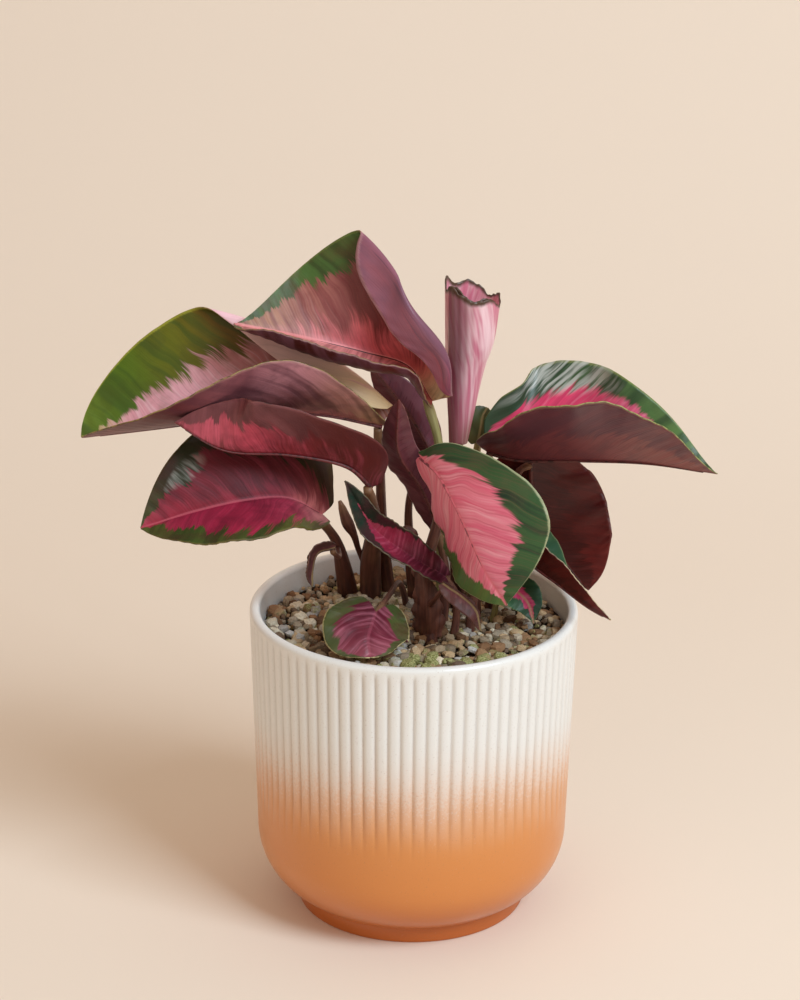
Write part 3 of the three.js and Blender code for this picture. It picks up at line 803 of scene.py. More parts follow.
@dataclass(frozen=True)
class FaceFinish:
    """Colours of one face of a blade.

    A tint comes with its strength. Bands lie on the outer zone, streaks and ribbons on the inner one.
    The painted highlight, if any, a pale reflection painted into the colour, has its centre along
    and across the blade, its reach both ways and its strength.
    """

    left: HalfFinish
    right: HalfFinish
    bands: tuple[Rgb, float] = ((30, 60, 35), 0.5)
    streaks: tuple[Rgb, float] = ((225, 140, 165), 0.3)
    mottle: tuple[Rgb, float] = ((60, 30, 36), 0.15)
    veins: tuple[Rgb, float] = ((60, 30, 35), 0.12)
    midrib: tuple[Rgb, float] = ((170, 150, 100), 0.5)
    margin: tuple[Rgb, float] = ((150, 150, 80), 0.7)
    feather: float = 0.25
    lobe: float = 3.2
    ribbons: tuple[Rgb, float] = ((110, 50, 60), 0.0)
    roughness: float = 0.42
    # Painted highlight: centre along, centre across, reach along, reach across and strength
    painted_highlight: tuple[float, float, float, float, float] | None = None


@dataclass(frozen=True)
class LeafFinish:
    """Both faces of a blade, and the colours of its cut edge and its raised midrib."""

    upper: FaceFinish
    under: FaceFinish
    edge: Rgb = (150, 140, 90)
    rib: Rgb = (120, 66, 62)


@dataclass
class LeafPaint:
    """Makes the materials of the blades."""

    pattern: bpy.types.NodeTree

    def face(self, name: str, finish: FaceFinish, seed: float) -> Material:
        """Makes the material of one face of a blade.

        Args:
            name: Name of the material.
            finish: Its colours.
            seed: Shifts the markings, so that no two blades are alike.

        Returns:
            The material.
        """
        nodes = Surface.new(name, finish.roughness, 0.3)
        along, over = nodes.uv("Leaf")
        ahead, aside = nodes.uv("Flat")
        right = nodes.math("GREATER_THAN", over, 0.5)
        halves = (finish.left, finish.right)

        def sides(part: str) -> Socket:
            """A reach or colours of both halves along the blade, chosen by the half.

            Args:
                part: Field of the halves' finishes.

            Returns:
                A number or a colour.
            """
            values = [getattr(one, part) for one in halves]
            if part.endswith("reach"):
                return nodes.choose(right, *(nodes.curve(along, value) for value in values))
            return nodes.mix(right, *(nodes.ramp(along, spread(value)) for value in values))

        marks = nodes.add("Group", node_tree=self.pattern)
        given = {
            "Along": nodes.times(ahead, 1 / MM),
            "Across": nodes.times(nodes.minus(aside, 0.5), 1 / MM),
            "Half share": nodes.times(nodes.math("ABSOLUTE", nodes.minus(over, 0.5)), 2.0),
            "Reach": sides("reach"),
            "Feather": finish.feather,
            "Lobe": finish.lobe,
            "Seed": seed,
        }
        for key, value in given.items():
            nodes.feed(marks.inputs[key], value)
        strength = nodes.choose(right, finish.left.marks, finish.right.marks)

        def tinted(colour: Socket, mark: str, tint: tuple[Rgb, float]) -> Socket:
            """A colour with a tint laid over it where a marking is."""
            amount = nodes.times(marks.outputs[mark], strength)
            return nodes.mix(nodes.times(amount, tint[1]), colour, tint[0])

        outer = tinted(sides("outer"), "Bands", finish.bands)
        inner = tinted(sides("inner"), "Streaks", finish.streaks)
        inner = tinted(inner, "Ribbons", finish.ribbons)
        colour = nodes.mix(marks.outputs["Zone"], outer, inner)
        if any(one.core for one in halves):
            halves = tuple(one if one.core else replace(one, core=one.inner) for one in halves)
            nodes.feed(marks.inputs["Core reach"], sides("core_reach"))
            core = tinted(sides("core"), "Streaks", (finish.streaks[0], finish.streaks[1] * 0.6))
            colour = nodes.mix(marks.outputs["Core"], colour, core)
        colour = tinted(colour, "Mottle", finish.mottle)
        in_zone = nodes.step(marks.outputs["Zone"], 0.0, 1.0, 0.25, 1.0)
        for mark in ("Fine veins", "Side veins"):
            vein = nodes.times(nodes.times(marks.outputs[mark], in_zone), finish.veins[1])
            colour = nodes.mix(vein, colour, finish.veins[0])
        colour = tinted(colour, "Midrib", finish.midrib)
        colour = tinted(colour, "Margin", finish.margin)
        # Painted highlight: a pale patch of painted reflection, streaked along the side veins
        if finish.painted_highlight:
            at_u, at_v, reach_u, reach_v, amount = finish.painted_highlight
            off_u = nodes.math("DIVIDE", nodes.minus(along, at_u), reach_u)
            off_v = nodes.math("DIVIDE", nodes.minus(over, 0.5 + 0.5 * at_v), 0.5 * reach_v)
            off = nodes.plus(nodes.times(off_u, off_u), nodes.times(off_v, off_v))
            painted_highlight_mask = nodes.times(nodes.step(off, 1.0, 0.2), marks.outputs["Gloss"])
            colour = nodes.mix(nodes.times(painted_highlight_mask, amount), colour, PAINTED_HIGHLIGHT_COLOUR)
        nodes.give("Base Color", colour)
        nodes.bump(marks.outputs["Height"], 0.1, 0.45)
        return nodes.material

    def edge(self, name: str, colour: Rgb) -> Material:
        """Makes the material of the cut edge of a blade, or of its raised midrib.

        Args:
            name: Name of the material.
            colour: Its display colour.

        Returns:
            The material.
        """
        nodes = Surface.new(name, 0.5)
        spots = nodes.step(nodes.noise(nodes.object_place(), 500.0), 0.45, 0.65)
        darker = tuple(int(value * 0.6) for value in colour)
        nodes.give("Base Color", nodes.mix(spots, colour, darker))
        return nodes.material


# ---- Pot ----


WHITE_GLAZE = (230, 229, 225)
GLAZE_DOTS = (150, 110, 80)
# Painted shade in the grooves of the flutes
GROOVE_SHADE = (150, 120, 92)
ORANGE_GLAZE = ((0.0, (188, 100, 40)), (0.1, (192, 106, 44)), (0.3, (212, 132, 64)), (1.0, (226, 160, 96)))


@dataclass
class Pot:
    """The fluted planter with its rim, inner wall and foot.

    Lines of pairs are radii and heights, under the foot with shares of its radius. The turns of the
    rim are its first and last angle and the count of its rings. The glaze changes between two heights
    in metres.
    """

    height: float = 136.0
    rim_radius: float = 70.0
    rim_edge: float = 2.2
    rim_wall: float = 4.5
    belly_radius: float = 67.1
    belly_height: float = 35.0
    belly_inward: float = 30.0
    belly_drop: float = 31.0
    foot_radius: float = 49.5
    foot_chamfer: float = 0.6
    flutes: int = 82
    flute_depth: float = 1.0
    flute_top: float = 133.0
    flute_low: float = 45.0
    flute_full: Pair = (72.0, 129.5)
    columns_per_flute: int = 10
    foot_under: tuple[Pair, ...] = ((0.3, 1.2), (0.8, 1.2), (0.9, 1.0), (0.93, 0.0))
    foot_side: tuple[float, ...] = (0.6, 3.5, 6.0)
    belly_turn: float = 66.0
    belly_rings: int = 22
    wall_low: float = 37.2
    wall_rings: int = 36
    rim_turns: tuple[float, float, int] = (12.0, 180.0, 12)
    inner_line: tuple[Pair, ...] = ((62.6, 40.0), (60.6, 27.0), (54.0, 16.0), (40.0, 10.5), (20.0, 10.0))
    glaze_change: Pair = (0.092, 0.038)

    def wall(self, z: Array | float) -> Array:
        """Outer radius between the flutes at heights in the wall."""
        share = np.clip((z - self.belly_height) / (self.flute_top - self.belly_height), 0, 1)
        return self.belly_radius + (self.rim_radius - self.belly_radius) * share

    def profile(self) -> Array:
        """Radius, height and depth share of the flutes, from the foot over the rim to the floor inside.

        Returns:
            One row for each ring.
        """
        rows = [(self.foot_radius * share, z, 0.0) for share, z in self.foot_under]
        rows += [(self.foot_radius - self.foot_chamfer, 0.0, 0.0), (self.foot_radius - 0.15, 0.15, 0.0)]
        rows += [(self.foot_radius, z, 0.0) for z in self.foot_side]
        for turn in np.radians(np.linspace(self.belly_turn, 0.0, self.belly_rings)):
            radius = self.belly_radius - self.belly_inward * (1 - math.cos(turn))
            rows.append((radius, self.belly_height - self.belly_drop * math.sin(turn), 0.0))
        for z in np.linspace(self.wall_low, self.flute_top, self.wall_rings):
            rise = np.clip((z - self.flute_low) / (self.flute_full[0] - self.flute_low), 0, 1)
            fall = np.clip((self.flute_top - z) / (self.flute_top - self.flute_full[1]), 0, 1)
            depth = (rise * rise * (3 - 2 * rise)) * math.sqrt(fall)
            rows.append((self.wall(z), z, depth))
        middle = self.rim_radius - self.rim_wall / 2
        for turn in np.radians(np.linspace(*self.rim_turns)):
            lift = self.rim_edge * (1 - math.sin(turn))
            rows.append((middle + self.rim_wall / 2 * math.cos(turn), self.height - lift, 0.0))
        rows += [(self.rim_radius - self.rim_wall - 0.3 * k, self.height - 6.0 * k, 0.0) for k in range(1, 5)]
        rows += [(radius, z, 0.0) for radius, z in self.inner_line]
        return np.array(rows)

    def build(self) -> Piece:
        """Turns the profile and presses the flutes into it.

        Returns:
            The pot.
        """
        profile = self.profile()
        angle = full_turn(self.flutes * self.columns_per_flute)
        phase = self.flutes * angle / (2 * np.pi)
        groove = np.abs(2 * (phase - np.round(phase))) ** 3
        radius = profile[:, :1] - self.flute_depth * profile[:, 2:] * groove[None]
        rings = stacked(radius * np.cos(angle), radius * np.sin(angle), profile[:, 1:2])
        piece = ringed_piece("planter", rings, {})
        self.write_grooves(piece)
        return piece

    def write_grooves(self, piece: Piece) -> None:
        """Marks how deep in a flute each vertex of the wall lies, as the attribute groove.

        Args:
            piece: The pot.
        """
        x, y, z = vertices_of(piece).T
        depth = (self.wall(z) - np.hypot(x, y)) / self.flute_depth
        fluted = (z > self.belly_height) & (z < self.flute_top) & (depth < 1.5)
        write_attribute(piece, "groove", np.where(fluted, np.clip(depth, 0, 1), 0))

    def glaze(self) -> Material:
        """White glaze that breaks into orange over the belly, satin, with fine speckles.

        Returns:
            The material.
        """
        nodes = Surface.new("planter_glaze", 0.3)
        place = nodes.object_place()
        _, depth, height = nodes.parts(place)
        groove = nodes.attribute("groove")
        cloud = nodes.times(nodes.minus(nodes.noise(place, 22.0, 3.0), 0.5), 0.02)
        level = nodes.plus(nodes.plus(height, cloud), nodes.times(depth, 0.17))
        level = nodes.minus(level, nodes.times(groove, 0.006))
        change = nodes.step(level, *self.glaze_change)
        grain = nodes.noise(place, 900.0, 2.0, 0.7)
        bias = nodes.times(nodes.minus(change, 0.5), 0.5)
        speck = nodes.step(nodes.plus(grain, bias), 0.4, 0.6)
        blend = nodes.math("ADD", nodes.times(change, 0.86), nodes.times(speck, 0.14), clamp=True)
        orange = nodes.ramp(nodes.times(height, 10.0), ORANGE_GLAZE)
        colour = nodes.mix(blend, WHITE_GLAZE, orange)
        dots = nodes.step(nodes.noise(place, 1500.0, 1.0), 0.66, 0.74)
        colour = nodes.mix(nodes.times(dots, 0.22), colour, GLAZE_DOTS)
        # The grooves are darkened with painted shade
        colour = nodes.mix(nodes.times(groove, 0.22), colour, GROOVE_SHADE)
        nodes.give("Base Color", colour)
        nodes.give("Coat Roughness", 0.18)
        nodes.give("Coat Weight", nodes.step(height, 0.002, 0.01, 0.0, 0.35))
        nodes.give("Roughness", nodes.step(nodes.noise(place, 60.0), 0.3, 0.7, 0.3, 0.42))
        nodes.bump(nodes.noise(place, 450.0), 0.08, 0.5)
        return nodes.material

    def make(self) -> None:
        """Builds the pot, dresses it and puts it in place of its node."""
        piece = self.build()
        dress(piece, self.glaze())
        settle(piece, Slot.GLAZE, "pot")


# ---- Gravel ----


GRAIN_TINT = (116, 90, 66)
MOSS = ((112, 112, 58), (176, 174, 120))
GRIT = ((40, 28, 18), (140, 112, 80))
SOIL = ((34, 24, 18), (84, 62, 46))
STONE_COLOURS = (
    (0.0, (92, 62, 40)),
    (0.16, (150, 110, 76)),
    (0.38, (206, 176, 136)),
    (0.56, (146, 132, 112)),
    (0.74, (236, 222, 194)),
    (0.88, (106, 84, 64)),
    (1.0, (200, 198, 192)),
)


@dataclass
class Gravel:
    """Loose grit over the soil: a bed and many small stones, with mossy patches near the front.

    The stones keep off circles given by X, Y and radius.
    """

    bed_radius: float = 64.7
    bed_low: float = 122.3
    bed_top: float = 124.2
    stones: int = 1250
    sizes: Pair = (1.2, 3.5)
    smallest: float = 0.8
    edge_gap: float = 0.9
    jitter: float = 0.8
    moss_centre: Pair = (14.0, -48.0)
    moss_reach: Pair = (34.0, 15.0)
    bed_rings: int = 34
    bed_columns: int = 120
    smooth_under: float = 28.0
    keep_off: tuple[Point, ...] = ()

    def bed(self) -> Piece:
        """The gritty bed that shows between the stones.

        Returns:
            The bed.
        """
        shares = np.concatenate([np.linspace(0.04, 1.0, self.bed_rings) ** 0.7, [1.0, 0.98]])
        angle = full_turn(self.bed_columns)
        radius = self.bed_radius * shares[:, None]
        x, y = radius * np.cos(angle), radius * np.sin(angle)
        lump = 0.35 * np.sin(0.9 * x + 1.3 * np.sin(0.7 * y)) * np.sin(1.1 * y)
        top = self.bed_top + lump + 0.25 * np.sin(2.3 * x - 1.7 * y)
        top[-2:] = [[self.bed_top - 0.4], [self.bed_low]]
        return ringed_piece("gravel_bed", stacked(x, y, top), {})

    def scatter(self) -> Piece:
        """One rough stone, copied all over the bed, each copy with its own size, turn and place.

        Returns:
            All the stones as one piece, with the attributes tone and moss.
        """
        bpy.ops.object.select_all(action="DESELECT")
        bpy.ops.mesh.primitive_uv_sphere_add(segments=8, ring_count=5, radius=MM)
        piece = bpy.context.object
        piece.name = "gravel_stones"
        piece.data.name = "gravel_stones"
        copies = piece.modifiers.new("copies", "ARRAY")
        copies.count = self.stones
        copies.use_relative_offset = False
        copies.use_constant_offset = True
        copies.constant_offset_displace = (0.0, 0.0, 0.0)
        finish_modifiers(piece)
        draw = np.random.default_rng(SEED)
        shape = vertices_of(piece).reshape(self.stones, -1, 3)[0]
        count = len(shape)
        places = self.places(draw)
        size = self.sizes[0] + (self.sizes[1] - self.sizes[0]) * draw.random(self.stones) ** 1.8
        edge = np.hypot(places[:, 0], places[:, 1])
        size = np.minimum(size, np.maximum(self.bed_radius + 0.4 - edge, self.smallest))
        width, height = draw.uniform(0.65, 1.0, self.stones), draw.uniform(0.5, 0.85, self.stones)
        stretch = stacked(size, size * width, size * height)
        rough = 1 + draw.uniform(-0.26, 0.16, (self.stones, count))
        points = shape[None] * rough[..., None]
        points = np.sign(points) * np.abs(points) ** 0.7
        points = points * stretch[:, None]
        turn = draw.uniform(-0.5, 0.5, self.stones)
        spin = draw.uniform(0, 2 * np.pi, self.stones)
        points = self.turned(points, turn, 0, 2)
        points = self.turned(points, spin, 0, 1)
        layer = draw.random(self.stones)
        level = self.bed_top + size * 0.25 + layer**2 * 2.2
        points += np.concatenate([places, level[:, None]], axis=1)[:, None]
        place_vertices(piece, points)
        self.write_tones(piece, draw, places, count)
        bpy.ops.object.shade_smooth_by_angle(angle=math.radians(self.smooth_under))
        return piece

    def places(self, draw: np.random.Generator) -> Array:
        """Places of the stones, evenly spread, moved a little and off the stalks.

        Args:
            draw: Source of random numbers.

        Returns:
            X and Y of each stone.
        """
        index = np.arange(self.stones)
        limit = self.bed_radius - self.edge_gap
        radius = limit * np.sqrt((index + 0.5) / self.stones)
        golden = index * np.pi * (3 - math.sqrt(5))
        places = stacked(radius * np.cos(golden), radius * np.sin(golden))
        places += draw.uniform(-self.jitter, self.jitter, places.shape)
        for x, y, room in self.keep_off:
            away = places - (x, y)
            distance = np.maximum(np.hypot(away[:, 0], away[:, 1]), 0.01)
            push = np.maximum(room - distance, 0) / distance
            places += away * push[:, None]
        reach = np.hypot(places[:, 0], places[:, 1])
        return places * np.minimum(1, limit / reach)[:, None]

    @staticmethod
    def turned(points: Array, angle: Array, first: int, second: int) -> Array:
        """Points of each stone turned in the plane of two axes.

        Args:
            points: Stones by vertices by three.
            angle: One angle for each stone.
            first: First axis of the plane.
            second: Second axis of the plane.

        Returns:
            The turned points.
        """
        out = points.copy()
        c, s = np.cos(angle)[:, None], np.sin(angle)[:, None]
        out[..., first] = c * points[..., first] - s * points[..., second]
        out[..., second] = s * points[..., first] + c * points[..., second]
        return out

    def write_tones(
        self, piece: Piece, draw: np.random.Generator, places: Array, count: int
    ) -> None:
        """Gives each stone its own tone, and the mossy ones near the front their green.

        Args:
            piece: The stones.
            draw: Source of random numbers.
            places: X and Y of each stone.
            count: Vertices of a stone.
        """
        off = np.subtract(places, self.moss_centre) / self.moss_reach
        near = np.exp(-(off[:, 0] ** 2) - off[:, 1] ** 2)
        moss = np.clip(near * 0.75 + draw.uniform(-0.6, 0.45, self.stones), 0, 1)
        for name, values in (("tone", draw.random(self.stones)), ("moss", moss)):
            write_attribute(piece, name, np.repeat(values, count))

    def stone_finish(self) -> Material:
        """Dry stone in tan, beige, grey and brown, each with fine grain, some mossy.

        Returns:
            The material.
        """
        nodes = Surface.new("gravel_stone", 0.85, 0.3)
        place = nodes.object_place()
        stone = nodes.ramp(nodes.attribute("tone"), STONE_COLOURS)
        grain = nodes.noise(place, 1400.0, 3.0, 0.7)
        stone = nodes.mix(nodes.step(grain, 0.35, 0.7, 0.0, 0.35), stone, GRAIN_TINT)
        green = nodes.mix(nodes.step(nodes.noise(place, 2200.0), 0.4, 0.6), *MOSS)
        patchy = nodes.plus(nodes.attribute("moss"), nodes.minus(nodes.noise(place, 260.0, 3.0), 0.5))
        cover = nodes.step(patchy, 0.3, 0.6)
        nodes.give("Base Color", nodes.mix(cover, stone, green))
        nodes.bump(grain, 0.3)
        return nodes.material

    def grit_finish(self, name: str, dark: Rgb, light: Rgb) -> Material:
        """Fine grit between the stones, or the soil under it.

        Args:
            name: Name of the material.
            dark: Display colour of its hollows, painted shade between the grains.
            light: Display colour of its grains.

        Returns:
            The material.
        """
        nodes = Surface.new(name, 0.95, 0.2)
        place = nodes.object_place()
        cells = nodes.add("TexVoronoi")
        nodes.feed(cells.inputs["Scale"], 700.0)
        nodes.feed(cells.inputs["Vector"], place)
        grains = nodes.step(cells.outputs["Distance"], 0.55, 0.1)
        tone = nodes.mix(nodes.noise(place, 330.0), dark, light)
        # The colour between the grains is painted shade in the hollows
        nodes.give("Base Color", nodes.mix(grains, dark, tone))
        nodes.bump(grains, 0.5)
        return nodes.material

    def make(self) -> None:
        """Builds the bed and the stones in place of the gravel node, and dresses the soil."""
        bed = self.bed()
        dress(bed, self.grit_finish("gravel_grit", *GRIT))
        settle(bed, Slot.GRAVEL, "gravel")
        stones = self.scatter()
        dress(stones, self.stone_finish())
        settle(stones, Slot.GRAVEL, "gravel")
        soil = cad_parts["soil"]
        soil.data.materials.clear()
        dress(soil, self.grit_finish("soil_crumb", *SOIL))


# ---- Leaf colours ----

# Upper sides

UPPER_LEFT_UPPER = FaceFinish(
    left=HalfFinish(((110, 112, 40), (78, 108, 30)), ((206, 150, 160), (214, 168, 176)), (0.5, 0.5, 0.2)),
    right=HalfFinish(
        ((140, 112, 44), (114, 78, 22), (104, 78, 8), (98, 100, 8), (80, 106, 14), (96, 116, 30)),
        ((176, 110, 92), (172, 104, 92), (200, 124, 128), (222, 160, 168), (216, 150, 158), (170, 160, 84)),
        (0.8, 0.74, 0.6, 0.48, 0.36, 0.05),
    ),
    bands=((46, 74, 14), 0.55),
    streaks=((236, 200, 202), 0.4),
    mottle=((64, 66, 12), 0.3),
    margin=((178, 174, 60), 0.55),
    midrib=((190, 182, 96), 0.8),
    feather=0.22,
    lobe=5.0,
    roughness=0.5,
)
UPPER_TOP = FaceFinish(
    left=HalfFinish(((84, 112, 44), (60, 84, 42)), ((222, 120, 124), (206, 140, 134)), (0.6, 0.6, 0.3)),
    right=HalfFinish(
        ((216, 196, 140), (96, 84, 34), (52, 54, 18), (50, 68, 26), (60, 80, 32), (60, 74, 30)),
        (
            (222, 176, 140), (120, 40, 34), (112, 42, 42), (140, 76, 74),
            (160, 98, 88), (174, 122, 98), (160, 122, 88),
        ),
        (0.9, 0.9, 0.78, 0.68, 0.62, 0.5),
        (
            (240, 214, 170), (220, 104, 104), (228, 108, 116),
            (220, 122, 124), (204, 130, 120), (180, 120, 104),
        ),
        (0.4, 0.2, 0.15, 0.12, 0.08, 0.05),
    ),
    ribbons=((112, 40, 46), 0.45),
    bands=((76, 108, 48), 0.6),
    streaks=((122, 44, 50), 0.4),
    mottle=((104, 36, 30), 0.25),
    margin=((110, 118, 56), 0.6),
    midrib=((236, 140, 140), 0.7),
    feather=0.26,
    lobe=4.0,
)
UPPER_LEFT_LOWER = FaceFinish(
    left=HalfFinish(
        ((110, 110, 50), (84, 92, 36), (66, 76, 30), (72, 88, 34), (84, 92, 40)),
        ((206, 130, 128), (170, 50, 76), (164, 36, 66), (160, 38, 68), (176, 60, 78)),
        (0.6, 0.82, 0.84, 0.7, 0.42, 0.2),
    ),
    right=HalfFinish(
        ((70, 60, 24), (44, 36, 12), (34, 32, 12), (42, 44, 20), (70, 72, 34)),
        ((150, 72, 72), (98, 26, 36), (96, 20, 32), (116, 30, 44), (162, 56, 72)),
        (0.45, 0.56, 0.62, 0.6, 0.5, 0.5),
        ((206, 124, 122), (142, 38, 56), (134, 32, 48), (164, 46, 68)),
        (0.24, 0.14, 0.12, 0.2),
    ),
    bands=((26, 36, 14), 0.5),
    streaks=((206, 80, 108), 0.16),
    mottle=((74, 16, 30), 0.4),
    veins=((70, 14, 30), 0.14),
    midrib=((200, 96, 110), 0.5),
    margin=((120, 100, 44), 0.4),
    feather=0.36,
    lobe=6.0,
    ribbons=((70, 16, 26), 0.3),
    roughness=0.58,
    # Painted highlight: a pale reflection on the right half towards the tip
    painted_highlight=(0.72, 0.62, 0.13, 0.2, 0.3),
)
UPPER_RIGHT = FaceFinish(
    left=HalfFinish(
        ((56, 82, 56), (58, 86, 58), (62, 92, 56), (78, 112, 62), (88, 122, 62), (84, 112, 56)),
        ((206, 60, 96), (222, 62, 106), (226, 70, 112), (230, 104, 138), (226, 120, 146), (170, 80, 90)),
        (0.4, 0.64, 0.73, 0.75, 0.7, 0.3, 0.0),
    ),
    right=HalfFinish(((44, 74, 56), (70, 108, 62)), ((214, 64, 112), (224, 120, 150)), (0.5, 0.5, 0.2)),
    bands=((30, 56, 36), 0.65),
    streaks=((240, 160, 180), 0.4),
    margin=((150, 156, 80), 0.45),
    feather=0.13,
    roughness=0.34,
    ribbons=((170, 40, 80), 0.3),
    # Painted highlight: whitish streaks of painted reflection near the left margin
    painted_highlight=(0.3, -0.88, 0.3, 0.26, 0.62),
)
UPPER_FRONT = FaceFinish(
    left=HalfFinish(
        ((40, 62, 38), (28, 52, 34), (22, 46, 30), (28, 58, 38), (38, 70, 42), (54, 86, 48)),
        ((214, 98, 114), (218, 94, 118), (222, 98, 124), (222, 106, 132), (226, 120, 144), (220, 124, 142)),
        (0.3, 0.46, 0.6, 0.62, 0.42, 0.1),
    ),
    right=HalfFinish(
        ((90, 110, 60), (70, 96, 52), (84, 108, 56), (92, 116, 60)),
        ((222, 112, 130), (228, 110, 134), (228, 108, 134), (236, 126, 150)),
        (1.2, 1.2, 0.84, 0.64, 0.4, 0.1),
    ),
    bands=((66, 104, 58), 0.6),
    streaks=((246, 184, 192), 0.5),
    mottle=((190, 70, 96), 0.05),
    veins=((176, 60, 84), 0.26),
    ribbons=((244, 170, 180), 0.3),
    midrib=((222, 112, 126), 0.6),
    margin=((206, 204, 160), 0.5),
    feather=0.15,
    lobe=2.0,
)
PLAIN_GREEN = HalfFinish(((46, 84, 56), (40, 76, 52)), ((206, 60, 106), (196, 50, 96)), (0.3, 0.4, 0.35, 0.1))
UPPER_GREEN = FaceFinish(PLAIN_GREEN, PLAIN_GREEN, bands=((66, 104, 62), 0.5), margin=((170, 176, 130), 0.36))
PLAIN_OLIVE = HalfFinish(((96, 98, 54), (70, 82, 46)), ((96, 98, 54), (70, 82, 46)))
UPPER_OLIVE = FaceFinish(PLAIN_OLIVE, PLAIN_OLIVE, bands=((50, 62, 34), 0.5))
UPPER_SMALL_FRONT = FaceFinish(
    left=HalfFinish(
        ((70, 84, 40), (84, 90, 48), (96, 96, 56)), ((92, 26, 42), (118, 42, 60), (146, 74, 88)),
        (0.4, 0.6, 0.74, 0.6),
    ),
    right=HalfFinish(
        ((70, 80, 40), (78, 84, 46), (92, 92, 54)), ((80, 22, 36), (106, 34, 50), (138, 64, 78)),
        (0.5, 0.66, 0.72, 0.6),
    ),
    bands=((50, 62, 30), 0.5),
    streaks=((206, 124, 144), 0.45),
    mottle=((80, 22, 38), 0.5),
    midrib=((190, 100, 120), 0.2),
    margin=((206, 186, 130), 0.6),
    feather=0.2,
    roughness=0.36,
)
FURLED_LEFT = HalfFinish(
    ((104, 40, 50), (48, 50, 38), (28, 52, 40), (26, 54, 42)),
    ((66, 22, 32), (92, 28, 42), (140, 40, 62), (190, 62, 92), (90, 60, 56)),
    (0.9, 0.95, 0.85, 0.35, 0.0, 0.0),
)
UPPER_FURLED = FaceFinish(
    left=FURLED_LEFT,
    right=replace(
        FURLED_LEFT,
        inner=((66, 22, 32), (92, 28, 42), (150, 44, 68), (206, 84, 112), (90, 60, 56)),
    ),
    bands=((20, 40, 30), 0.5),
    streaks=((226, 120, 146), 0.28),
    mottle=((80, 20, 40), 0.5),
    midrib=((150, 60, 80), 0.0),
    margin=((110, 100, 70), 0.3),
    roughness=0.3,
)

# Undersides

UNDER_LEFT_UPPER = FaceFinish(
    left=HalfFinish(
        ((232, 196, 150), (228, 168, 158), (206, 142, 150), (140, 84, 92), (92, 44, 48), (96, 44, 46)),
        ((222, 160, 136), (214, 142, 144), (184, 116, 128), (116, 58, 68), (84, 30, 36), (104, 36, 44)),
        (0.3, 0.3, 0.3, 0.35, 0.5, 0.6),
    ),
    # The flap folded over from this half is painted near-white pink with faint marks: painted light, a glow
    # of the light shining through the thin blade
    right=HalfFinish(
        ((252, 220, 168), (252, 208, 206), (252, 200, 220), (250, 190, 214), (226, 160, 180)),
        ((252, 206, 176), (252, 196, 206), (250, 186, 212), (246, 176, 204), (206, 144, 164)),
        (0.6, 0.6, 0.5),
        marks=0.15,
    ),
    bands=((92, 52, 62), 0.5),
    streaks=((196, 136, 146), 0.4),
    mottle=((84, 42, 54), 0.45),
    veins=((80, 40, 52), 0.16),
    midrib=((150, 84, 84), 0.4),
    margin=((150, 120, 80), 0.3),
)
UNDER_TOP = FaceFinish(
    left=HalfFinish(
        ((100, 38, 34), (90, 34, 32), (72, 26, 22), (68, 26, 24), (96, 44, 40)),
        ((96, 34, 30), (84, 30, 28), (66, 22, 18), (70, 28, 26)),
        (0.4, 0.4),
    ),
    # This half, which rolls over, is painted mauve: the maroon of the underside with a painted sheen of the
    # pale light over it
    right=HalfFinish(
        ((164, 76, 90), (158, 90, 104), (154, 92, 108), (162, 96, 112), (182, 98, 122), (172, 90, 108)),
        ((134, 66, 76), (132, 82, 98), (116, 78, 98), (120, 76, 98), (156, 76, 104), (146, 78, 94)),
        (0.7, 0.72, 0.74, 0.78, 0.8),
    ),
    bands=((132, 88, 106), 0.4),
    streaks=((104, 66, 84), 0.55),
    mottle=((112, 78, 98), 0.4),
    veins=((96, 52, 70), 0.16),
    midrib=((110, 50, 52), 0.4),
    margin=((206, 160, 160), 0.36),
    feather=0.3,
    roughness=0.38,
)
UNDER_LEFT_MIDDLE = FaceFinish(
    left=HalfFinish(
        ((84, 26, 24), (92, 36, 36), (118, 66, 70), (128, 72, 76), (124, 68, 72), (116, 60, 64)),
        ((84, 26, 26), (104, 36, 42), (140, 54, 66), (190, 74, 94), (184, 78, 94), (136, 60, 66)),
        (0.1, 0.2, 0.46, 0.58, 0.6, 0.4),
        ((84, 26, 24), (92, 30, 30), (126, 40, 48), (120, 40, 46), (108, 42, 44), (106, 44, 46)),
        (0.6, 0.56, 0.2, 0.04, 0.0, 0.0),
    ),
    right=HalfFinish(((116, 56, 60), (120, 66, 70)), ((150, 56, 70), (176, 66, 84)), (0.4, 0.4)),
    bands=((86, 42, 46), 0.5),
    streaks=((214, 96, 118), 0.35),
    mottle=((70, 26, 32), 0.35),
    veins=((70, 26, 34), 0.14),
    midrib=((90, 34, 36), 0.5),
    margin=((140, 84, 72), 0.3),
    feather=0.34,
    lobe=5.0,
)
UNDER_RIGHT = FaceFinish(
    left=HalfFinish(((96, 50, 60), (104, 56, 64)), ((110, 54, 66), (116, 60, 70)), (0.4, 0.4)),
    right=HalfFinish(
        ((100, 46, 56), (96, 44, 54), (100, 48, 58), (112, 56, 60), (130, 72, 68)),
        ((112, 50, 54), (114, 52, 58), (122, 58, 60), (128, 66, 62), (130, 70, 64)),
        (0.4, 0.45, 0.5, 0.5),
    ),
    bands=((76, 40, 54), 0.5),
    streaks=((144, 72, 80), 0.24),
    mottle=((70, 36, 48), 0.35),
    veins=((56, 22, 28), 0.22),
    midrib=((100, 50, 46), 0.5),
    margin=((150, 120, 90), 0.36),
    roughness=0.38,
)
MAROON = HalfFinish(((98, 28, 24), (90, 22, 18), (104, 32, 28)), ((78, 22, 18), (72, 18, 14)), (0.4, 0.4))
